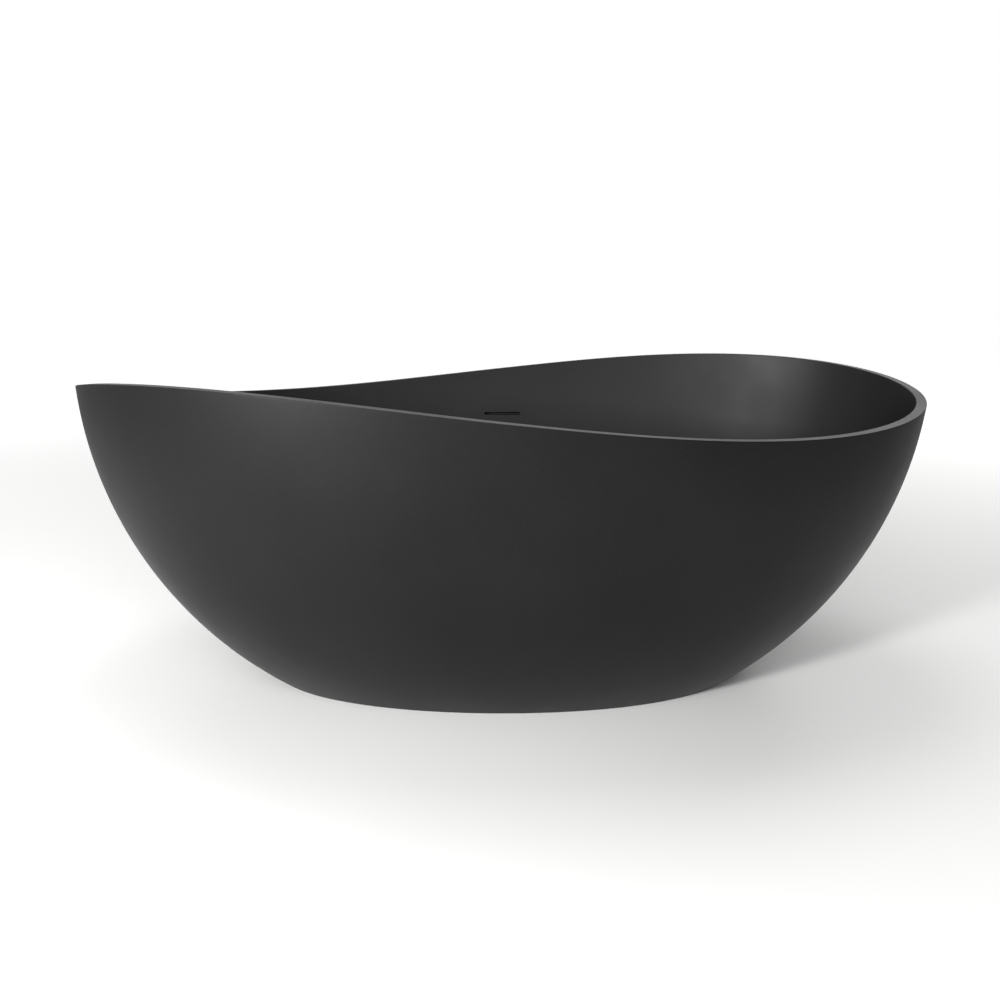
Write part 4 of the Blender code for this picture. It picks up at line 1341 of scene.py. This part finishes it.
@dataclass
class PlugSet:
    """The push-to-open plug: a stone cap over a seal, on a stem that slides in a sprung cartridge."""

    turns: float = 5.0
    wire: float = 0.00035

    def build(self) -> None:
        """Makes and dresses the plug's pieces."""
        dress(self.cap(), Slot.STONE_RESIN, PLUG, "waste_plug")
        dress(self.seal(), Slot.BLACK_RUBBER, PLUG, "plug_seal")
        dress(self.stem(), Slot.CHROMED_BRASS, PLUG, "plug_stem")
        dress(self.cartridge(), Slot.TURNED_BRASS, TUB, "latch_cartridge")
        spring = dress(self.spring(), Slot.STAINLESS_STEEL, TUB, "plug_spring")
        low, high = heights("plug_spring")
        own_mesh(spring)

    def cap(self) -> Piece:
        """A slightly domed disc with a rounded edge and a boss underneath.

        Returns:
            The new object.
        """
        low, high = heights("waste_plug")
        radius = half_width("waste_plug")
        under = low + 0.006
        dome_start = radius - 0.0016
        across = np.linspace(dome_start, 0.0004, 22)
        rise = high - (high - under) * 0.16 * (across / dome_start) ** 2
        lower = rounded(
            [
                (0.0025, under - 0.0003),
                (0.0025, low),
                (0.006, low),
                (0.006, under),
                (radius, under),
                (radius, under + 0.0026),
            ],
            0.0006,
            closed=False,
        )
        turn = np.linspace(0, math.pi / 2, 7)[1:-1]
        shoulder = np.column_stack(
            [dome_start + 0.0016 * np.cos(turn), under + 0.0026 + (rise[0] - under - 0.0026) * np.sin(turn)]
        )
        outline = np.concatenate([lower, shoulder, np.column_stack([across, rise])])
        return lathe("stone_plug_cap", outline, ends=Ends.CAPS, sides=128)

    def seal(self) -> Piece:
        """A flat ring with a soft lip outside.

        Returns:
            The new object.
        """
        low, high = heights("plug_seal")
        outer = half_width("plug_seal")
        inner = 0.0245
        outline = [(inner, low + 0.0003), (outer - 0.001, low), (outer, low + 0.0005)]
        outline += [(outer - 0.0008, high), (inner, high)]
        return lathe("plug_lip_seal", rounded(outline, 0.0003), sides=128)

    def stem(self) -> Piece:
        """A plain polished rod with a snap groove and chamfered ends.

        Returns:
            The new object.
        """
        low, high = heights("plug_stem")
        radius = half_width("plug_stem")
        outline = rounded(
            [
                (radius * 0.6, low),
                (radius, low + 0.0006),
                (radius, low + 0.0030),
                (radius * 0.78, low + 0.0033),
                (radius * 0.78, low + 0.0044),
                (radius, low + 0.0047),
                (radius, high - 0.0004),
                (radius * 0.8, high),
            ],
            0.0002,
            closed=False,
        )
        return lathe("plug_rod", outline, ends=Ends.CAPS, sides=40)

    def cartridge(self) -> Piece:
        """A knurled brass body with a threaded neck and a blind bore for the rod.

        Returns:
            The new object.
        """
        low, high = heights("latch_cartridge")
        body = half_width("latch_cartridge")
        shoulder, bore, neck = high - 0.010, 0.0025, 0.0039
        head = rounded(
            [
                (bore * 0.3, low + 0.002),
                (bore, low + 0.002),
                (bore, high),
                (body, high),
                (body, shoulder),
                (neck, shoulder),
            ],
            0.0004,
            closed=False,
        )
        climb = np.linspace(shoulder - 0.0004, low + 0.0006, 60)
        outline = np.concatenate([head, np.column_stack([np.full(60, neck), climb]), [(neck * 0.85, low)]])

        def knurl(radii: Array, height: Array, angle: Array) -> Array:
            """Fine flutes on the body: 0.12 mm times |sin 20a|."""
            on_body = (radii > neck + 0.001) & (height > shoulder + 0.001) & (height < high - 0.001)
            return radii - np.where(on_body, 0.00012 * np.abs(np.sin(20 * angle)), 0.0)

        def neck_thread(radii: Array, height: Array, angle: Array) -> Array:
            """The neck's fine thread, clear of the bore."""
            cut = thread(0.001, 0.0004, low, shoulder)(radii, height, angle)
            return np.where(radii > bore + 0.0002, np.where(height < shoulder, cut, radii), radii)

        return lathe("latch_body", outline, ends=Ends.CAPS, sides=120, cut=in_turn(knurl, neck_thread))

    def spring(self) -> Piece:
        """A helix of round wire with closed end turns.

        The middle line is (R cos a, R sin a, z(a)); z climbs as a smooth step, so that the first and
        last turns lie nearly flat.

        Returns:
            The new object.
        """
        low, high = heights("plug_spring")
        radius = 0.0042
        angle = np.linspace(0, TURN * self.turns, int(48 * self.turns))
        part = angle / angle[-1]
        eased = part - 0.11 * np.sin(TURN * part)
        height = low + self.wire + (high - low - 2 * self.wire) * eased
        around = np.linspace(0, TURN, 12, endpoint=False)[None, :]
        reach = radius + self.wire * np.cos(around)
        x = reach * np.cos(angle)[:, None]
        y = reach * np.sin(angle)[:, None]
        z = height[:, None] + self.wire * np.sin(around)
        return skin("return_spring", np.stack([x, y, z], axis=-1), Ends.CAPS)


@dataclass
class WasteSet:
    """The waste body through the floor, its seals and nut, and the outlet below it."""

    bore: float = 0.019
    tube: float = 0.0225
    outlet_bore: float = 0.0178
    port_radius: float = 0.010
    port_bore: float = 0.008
    port_grip: float = 0.030  # how much of the side port is barbed
    nut_half_flats: float = 0.029

    def build(self) -> None:
        """Makes and dresses the pieces from the flange down to the tailpiece."""
        dress(self.flange(), Slot.CHROMED_BRASS, TUB, "waste_flange")
        for node in ("upper_seal", "lower_seal", "tail_washer"):
            dress(self.ring(node), Slot.BLACK_RUBBER, TUB, node)
        dress(self.back_nut(), Slot.TURNED_BRASS, TUB, "back_nut")
        dress(self.tee(), Slot.WHITE_PLASTIC, TUB, "waste_tee")
        dress(self.tail_nut(), Slot.WHITE_PLASTIC, TUB, "tail_nut")
        dress(self.tailpiece(), Slot.WHITE_PLASTIC, TUB, "tailpiece")

    def flange(self) -> Piece:
        """A dished flange on a threaded tube, with a three-armed crosspiece in its bore.

        Returns:
            The new object.
        """
        low, high = heights("waste_flange")
        outer = half_width("waste_flange")
        under = high - 0.0025
        top = rounded(
            [
                (self.tube, under - 0.0030),
                (self.tube, under),
                (outer - 0.001, under),
                (outer, under + 0.001),
                (outer - 0.0012, high),
                (self.bore + 0.004, high - 0.0002),
                (self.bore, high - 0.0032),
                (self.bore, low + 0.0005),
            ],
            0.0007,
            closed=False,
        )
        climb = np.linspace(low + 0.0005, under - 0.0035, 150)
        tube = np.column_stack([0 * climb + self.tube, climb])
        outline = np.concatenate([top, [(self.bore + 0.0005, low)], tube])

        def tube_thread(radii: Array, height: Array, angle: Array) -> Array:
            """The outside's pipe thread, with the bore left alone."""
            cut = thread(0.0023, 0.0010, low, under - 0.004)(radii, height, angle)
            return np.where(np.abs(radii - self.tube) < 1e-6, cut, radii)

        shell = lathe("flange shell", outline, sides=96, cut=tube_thread)
        cross_top = high - 0.020
        return joined("dished_flange", [shell, *self.cross(cross_top - 0.004, cross_top)])

    def cross(self, low: float, high: float) -> list[Piece]:
        """The boss and its three arms.

        Args:
            low: the lowest height.
            high: the highest height.

        Returns:
            The boss and the arms.
        """
        boss = [(0.0042, low), (0.008, low), (0.008, high), (0.0042, high)]
        pieces = [lathe("boss", rounded(boss, 0.0004), sides=48)]
        for number in range(3):
            start, end = (0.0072, -0.00175, low + 0.0002), (self.bore + 0.0015, 0.00175, high - 0.0002)
            arm = block("arm", start, end, 0.0005)
            turn = math.radians(120 * number + 30)
            points = np.array([vertex.co for vertex in arm.data.vertices])
            x = points[:, 0] * math.cos(turn) - points[:, 1] * math.sin(turn)
            y = points[:, 0] * math.sin(turn) + points[:, 1] * math.cos(turn)
            arm.data.vertices.foreach_set("co", np.column_stack([x, y, points[:, 2]]).ravel())
            pieces.append(arm)
        return pieces

    def ring(self, node: str) -> Piece:
        """A moulded ring with soft edges, of a CAD node's size.

        Args:
            node: the CAD node's name.

        Returns:
            The new object.
        """
        low, high = heights(node)
        inner = {"upper_seal": 0.026, "lower_seal": 0.0231, "tail_washer": self.outlet_bore}[node]
        outer = half_width(node)
        edge = min(high - low, outer - inner) * 0.3
        outline = [(inner, low), (outer, low), (outer, high), (inner, high)]
        return lathe(f"moulded_{node}", rounded(outline, edge), sides=96)

    def back_nut(self) -> Piece:
        """A flanged hexagon nut.

        Returns:
            The new object.
        """
        low, high = heights("back_nut")
        outer = half_width("back_nut")
        flats, bore = self.nut_half_flats, self.tube + 0.0003
        step = low + 0.0038
        corner = across_corners(flats)
        outline = [(bore, low), (flats, low), (corner, low + 0.0012), (corner, step)]
        outline += [(outer, step), (outer, high), (bore, high)]
        cut = hexagon(flats, low - 0.001, step + 0.00005)
        return lathe("flanged_back_nut", rounded(outline, 0.0004), sides=144, cut=cut)

    def tee(self) -> Piece:
        """A moulded tee: a ribbed socket, a body, an outlet spigot and a barbed side spigot.

        Returns:
            The new object.
        """
        low, high = heights("waste_tee")
        high_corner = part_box("waste_tee")[1]
        radius = half_width("waste_tee")
        outlet, outlet_bore = 0.020, self.outlet_bore
        body_low = low + 0.018
        socket_floor = high - 0.0145
        outline = [
            (outlet_bore, low),
            (outlet, low),
            (outlet, body_low),
            (radius - 0.0015, body_low),
            (radius - 0.0015, high - 0.010),
            (radius, high - 0.009),
            (radius, high),
            (self.tube + 0.0003, high),
            (self.tube + 0.0003, socket_floor),
            (self.bore, socket_floor),
            (self.bore, body_low + 0.004),
            (outlet_bore, body_low + 0.004),
        ]

        def grips(radii: Array, height: Array, angle: Array) -> Array:
            """Flutes on the collar: 0.5 mm times |sin 16a| to the power 3."""
            collar = (radii > radius - 0.0004) & (height > high - 0.0095)
            return radii - np.where(collar, 0.0005 * np.abs(np.sin(16 * angle)) ** 3, 0.0)

        body = lathe("tee body", rounded(outline, 0.0008), sides=128, cut=grips)
        port_height = body_low + 0.004 + self.port_radius + 0.004
        channel = np.array([(0.0, 0.012, port_height), (0.0, 0.060, port_height)])
        carve(body, [skin("port bore", rings_round(channel, self.port_bore, 32), Ends.CAPS)])
        steps = np.linspace(radius - 0.004, high_corner.y, 90)
        path = np.column_stack([0 * steps, steps, 0 * steps + port_height])
        grip = np.clip((steps - (high_corner.y - self.port_grip)) / 0.002, 0, 1)
        barbs = 0.0006 * ((high_corner.y - steps) / 0.006 % 1.0) * grip
        port = sweep("port", path, self.port_radius - barbs, 0 * steps + self.port_bore, 48)
        return joined("moulded_tee", [body, port])

    def tail_nut(self) -> Piece:
        """A hand nut with bold ribs.

        Returns:
            The new object.
        """
        low, high = heights("tail_nut")
        outer = half_width("tail_nut")
        bore, wide = self.outlet_bore, 0.0203
        outline = [(bore, low), (outer, low), (outer, high), (wide, high)]
        outline += [(wide, low + 0.004), (bore, low + 0.004)]

        def ribs(radii: Array, height: Array, angle: Array) -> Array:
            """Ribs: the outer radius loses 1.2 mm times (1 - |cos 8a|)^0.5 between its two ends.

            Args:
                radii: the radius at each point.
                height: each point's height.
                angle: each point's angle.

            Returns:
                The radii after the cut.
            """
            outside = radii > outer - 0.0015
            above, below = (height - low - 0.0015) / 0.001, (high - 0.0015 - height) / 0.001
            inside_ends = np.clip(above, 0, 1) * np.clip(below, 0, 1)
            hollow = 0.0012 * np.sqrt(1 - np.abs(np.cos(8 * angle))) * inside_ends
            return radii - np.where(outside, hollow, 0.0)

        fine = rounded(outline, 0.0008)
        climb = np.linspace(low + 0.0016, high - 0.0016, 12)
        upper_corner = int(np.argmax((fine[:, 0] > outer - 1e-6) & (fine[:, 1] > climb[0])))
        side = np.column_stack([0 * climb + outer, climb])
        outline_fine = np.insert(fine, upper_corner, side, axis=0)
        return lathe("ribbed_tail_nut", outline_fine, sides=160, cut=ribs)

    def tailpiece(self) -> Piece:
        """A plain pipe with chamfered ends and a stop bead.

        Returns:
            The new object.
        """
        low, high = heights("tailpiece")
        outer = half_width("tailpiece")
        inner = outer - 0.002
        outline = [(inner, low), (outer - 0.0006, low), (outer, low + 0.0012), (outer, high), (inner, high)]
        return lathe("outlet_pipe", rounded(outline, 0.0004), sides=96)


@dataclass
class OverflowRun:
    """The collector behind the slot, the corrugated hose down to the tee, and its clamps."""

    ridge: float = 0.0042
    ridge_depth: float = 0.0014
    cuff: float = 0.030

    def build(self) -> None:
        """Dresses the collector and its gasket, and makes the hose and the clamps."""
        dress_node("overflow_box", Slot.BLACK_PLASTIC)
        dress_node("overflow_gasket", Slot.BLACK_RUBBER)
        route = self.route()
        dress(self.hose(route), Slot.GREY_HOSE, TUB, "overflow_hose")
        dress(self.clamp("upper", route, 0.015), Slot.STAINLESS_STEEL, TUB, "hose_clamp_upper")
        dress(self.clamp("lower", route, -0.015), Slot.STAINLESS_STEEL, TUB, "hose_clamp_lower")

    def route(self) -> Array:
        """The hose's middle line at even steps of about half a millimetre.

        It is read from the CAD tube: its skin's points, each taken once, go to hose_centre, which finds the
        middle line and smooths it.

        Returns:
            Points of the middle line.
        """
        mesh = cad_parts["overflow_hose"].data
        points = np.zeros(len(mesh.vertices) * 3, np.float32)
        mesh.vertices.foreach_get("co", points)
        return hose_centre(np.unique(np.round(points.reshape(-1, 3).astype(float), 6), axis=0))

    def hose(self, route: Array) -> Piece:
        """A tube whose radius waves along it, with plain cuffs where it grips the spigots.

        Args:
            route: the hose's middle line.

        Returns:
            The new object.
        """
        along = distance_along(route)
        total = along[-1]
        outer, bore = 0.0127, 0.0105
        start, end = (along - self.cuff) / 0.004, (total - self.cuff - along) / 0.004
        ridged = np.clip(start, 0, 1) * np.clip(end, 0, 1)
        wave = 0.5 - 0.5 * np.cos(TURN * (along - self.cuff) / self.ridge)
        dip = self.ridge_depth * wave * ridged
        return sweep("corrugated_hose", route, outer - dip, bore - dip * 0.5, 28)

    def clamp(self, name: str, route: Array, place: float) -> Piece:
        """A worm-drive band: a thin ring with a housing and a slotted screw on its outer side.

        Args:
            name: upper or lower, for the piece's name.
            route: the hose's middle line.
            place: how far along the hose its middle is, counted from the far end where negative.

        Returns:
            The new object.
        """
        along = distance_along(route)
        centre = place if place > 0 else along[-1] + place
        wanted = centre + np.linspace(-0.0045, 0.0045, 9)
        path = np.column_stack([np.interp(wanted, along, route[:, axis]) for axis in range(3)])
        lift = 0.0001 * np.abs(np.linspace(-1, 1, 9)) ** 4
        band = sweep("band", path, 0.0142 - lift, np.full(9, 0.0130), 64)
        across, up = frames_along(path)
        along_path = path[-1] - path[0]
        along_path /= np.linalg.norm(along_path)
        side = across[4]
        seat = path[4] + side * 0.0146
        angle = np.linspace(0, TURN, 20, endpoint=False)
        spans = np.array([-0.0052, -0.0050, 0.0038, 0.0040, 0.0042, 0.0062, 0.0064])
        radii = np.array([0.0014, 0.0017, 0.0017, 0.0014, 0.0021, 0.0021, 0.0018])
        ring = np.cos(angle)[:, None] * side + np.sin(angle)[:, None] * along_path
        rings = seat + up[4] * spans[:, None, None] + radii[:, None, None] * ring[None, :, :]
        screw = skin("screw", rings, Ends.CAPS)
        return joined(f"worm_clamp_{name}", [band, screw])


def distance_along(path: Array) -> Array:
    """The distance along a path at each of its points."""
    return np.concatenate([[0.0], np.cumsum(np.linalg.norm(np.diff(path, axis=0), axis=1))])


def hose_centre(points: Array) -> Array:
    """Finds a tube's middle line from the points of its skin, for a tube that is level with x = 0.

    The tube's points at the widest x are the ones beside the middle line, so they give its y and z. The
    tube falls all the way, so they are put in order by y + z, and a moving mean and an even respacing
    make them smooth.

    Args:
        points: the skin's points.

    Returns:
        Points of the middle line at even steps.
    """
    beside = points[points[:, 0] > points[:, 0].max() - 0.0003]
    line = beside[np.argsort(-(beside[:, 1] + beside[:, 2]))] * np.array([0.0, 1.0, 1.0])
    along = distance_along(line)
    wanted = np.linspace(0, along[-1], int(along[-1] / 0.0006))
    dense = np.column_stack([np.interp(wanted, along, line[:, axis]) for axis in range(3)])
    window = 41
    padded = np.pad(dense, ((window // 2, window // 2), (0, 0)), mode="reflect", reflect_type="odd")
    kernel = np.ones(window) / window
    return np.column_stack([np.convolve(padded[:, axis], kernel, mode="valid") for axis in range(3)])


# The studio


@dataclass(frozen=True)
class Softbox:
    """A square area light that faces a point."""

    name: str
    place: tuple[float, float, float]
    aim: tuple[float, float, float]
    side: float
    power: float

    def build(self) -> None:
        """Adds the light."""
        lamp = bpy.data.lights.new(self.name, "AREA")
        lamp.shape = "SQUARE"
        lamp.size = self.side
        lamp.energy = self.power
        holder = bpy.data.objects.new(self.name, lamp)
        holder.location = self.place
        holder.visible_camera = False
        turn_to(holder, self.aim)
        bpy.context.scene.collection.objects.link(holder)


def turn_to(holder: Piece, aim: Sequence[float]) -> None:
    """Turns a light or camera to look at a point, with its top up."""
    direction = Vector(aim) - holder.location
    holder.rotation_euler = direction.to_track_quat("-Z", "Y").to_euler()


@dataclass
class Studio:
    """A pale floor, soft light and the camera."""

    distance: float = 1.8672
    pitch: float = 0.2486  # radians below level
    aim: tuple[float, float, float] = (-0.0053, 0.0, 0.3889)
    lens: float = 31.66
    sensor: float = 36.0
    backdrop: float = 1.0
    surround: float = 0.10  # what surfaces see, the same all round
    from_left: float = 0.30  # added towards the left
    glow: float = 0.72  # the lit paper's own light, far from the tub
    glow_span: tuple[float, float] = (0.6, 4.5)
    from_behind: float = 1.40  # added straight behind

    def build(self) -> None:
        """Adds everything that isn't the object."""
        self.floor()
        self.world()
        for box in (
            Softbox("left front key", (-2.03, -2.60, 1.18), (0.0, 0.0, 0.45), 0.42, 132.0),
            Softbox("left fill", (-3.30, 0.0, 1.27), (0.0, 0.0, 0.45), 0.7, 5.5),
            Softbox("front overhead", (0.0, -2.94, 2.15), (0.0, 0.0, 0.45), 2.0, 46.0),
            Softbox("overhead", (0.0, 0.3, 3.2), (0.0, 0.0, 0.45), 1.4, 22.0),
            Softbox("floor wash", (2.6, 2.9, 2.8), (1.7, 1.3, 0.0), 1.8, 20.0),
        ):
            box.build()
        self.camera()

    def floor(self) -> None:
        """A wide disc under the tub, matt and nearly white."""
        angle = np.linspace(0, TURN, 96, endpoint=False)
        radii = (14.0, 14.01)
        rings = [
            np.stack([radius * np.cos(angle), radius * np.sin(angle), 0 * angle + height], axis=-1)
            for radius, height in zip(radii, (0.0, -0.02))
        ]
        slab = skin("studio_floor", np.stack(rings), Ends.CAPS)
        paper = Finish(
            "matt studio paper", "#f2f2f1", "#f5f5f4", (0.85, 0.95), specular=0.1,
            cloud_mm=900.0, grain_mm=40.0, depth_mm=0.02,
        )
        slab.data.materials.append(self.lit(paper.make()))

    def lit(self, paper: bpy.types.Material) -> bpy.types.Material:
        """Makes the paper as pale far off as the backdrop, to the eye only: its glow rises with distance.

        Args:
            paper: the floor's material.

        Returns:
            The same material.
        """
        tree = paper.node_tree
        shader = tree.nodes["Principled BSDF"]
        shader.inputs["Emission Color"].default_value = (1.0, 1.0, 1.0, 1.0)
        where = add_node(tree, "ShaderNodeTexCoord").outputs["Object"]
        far = add_node(tree, "ShaderNodeVectorMath", {}, {0: where}, operation="LENGTH").outputs["Value"]
        near_edge, far_edge = self.glow_span
        values = {"From Min": near_edge, "From Max": far_edge, "To Min": 0.0, "To Max": self.glow}
        rising = add_node(tree, "ShaderNodeMapRange", values, {"Value": far}).outputs[0]
        eye = add_node(tree, "ShaderNodeLightPath").outputs["Is Camera Ray"]
        shown = add_node(tree, "ShaderNodeMath", {}, {0: rising, 1: eye}, operation="MULTIPLY").outputs[0]
        tree.links.new(shown, shader.inputs["Emission Strength"])
        return paper

    def world(self) -> None:
        """A white backdrop to the eye.

        In direction (x, y, z), surfaces see s + l max(-x, 0) + b max(y, 0)^3.
        """
        world = bpy.data.worlds.new("studio")
        world.use_nodes = True
        tree = world.node_tree
        tree.nodes.clear()
        way = add_node(tree, "ShaderNodeTexCoord").outputs["Generated"]
        parts = add_node(tree, "ShaderNodeSeparateXYZ", {}, {"Vector": way}).outputs
        left = self.towards(tree, parts["X"], -self.from_left)
        back = self.towards(tree, parts["Y"], 1.0)
        narrow = add_node(tree, "ShaderNodeMath", {1: 3.0}, {0: back}, operation="POWER").outputs[0]
        values, links = {1: self.from_behind}, {0: narrow, 2: left}
        sides = add_node(tree, "ShaderNodeMath", values, links, operation="MULTIPLY_ADD").outputs[0]
        whole = add_node(tree, "ShaderNodeMath", {1: self.surround}, {0: sides}, operation="ADD").outputs[0]
        seen = add_node(tree, "ShaderNodeBackground", {"Color": (1, 1, 1, 1), "Strength": self.backdrop})
        lit = add_node(tree, "ShaderNodeBackground", {"Color": (1, 1, 1, 1)}, {"Strength": whole})
        path = add_node(tree, "ShaderNodeLightPath")
        links = {0: path.outputs["Is Camera Ray"], 1: lit.outputs[0], 2: seen.outputs[0]}
        mixed = add_node(tree, "ShaderNodeMixShader", {}, links)
        add_node(tree, "ShaderNodeOutputWorld", {}, {"Surface": mixed.outputs[0]})
        bpy.context.scene.world = world
        bpy.context.scene.view_settings.view_transform = "Standard"

    def towards(self, tree: Tree, part: Socket, gain: float) -> Socket:
        """A direction's part times a gain, and never below zero."""
        scaled = add_node(tree, "ShaderNodeMath", {1: gain}, {0: part}, operation="MULTIPLY").outputs[0]
        return add_node(tree, "ShaderNodeMath", {1: 0.0}, {0: scaled}, operation="MAXIMUM").outputs[0]

    def camera(self) -> None:
        """The camera stands in front, a little above the rim, and looks down at the tub."""
        lens = bpy.data.cameras.new("camera")
        lens.lens = self.lens
        lens.sensor_width = self.sensor
        lens.clip_end = 60.0
        holder = bpy.data.objects.new("camera", lens)
        back = self.distance * math.cos(self.pitch)
        up = self.distance * math.sin(self.pitch)
        holder.location = (self.aim[0], self.aim[1] - back, self.aim[2] + up)
        turn_to(holder, self.aim)
        bpy.context.scene.collection.objects.link(holder)
        bpy.context.scene.camera = holder


def main() -> None:
    """Builds the studio and then the tub's sub-assemblies in order."""
    logging.basicConfig(level=logging.INFO, format="%(name)s: %(message)s")
    Studio().build()
    Castings().build()
    BaseFrame().build()
    for number in range(1, 5):
        LevellingFoot(number).build()
    PlugSet().build()
    WasteSet().build()
    OverflowRun().build()


if __name__ == "__main__":
    main()
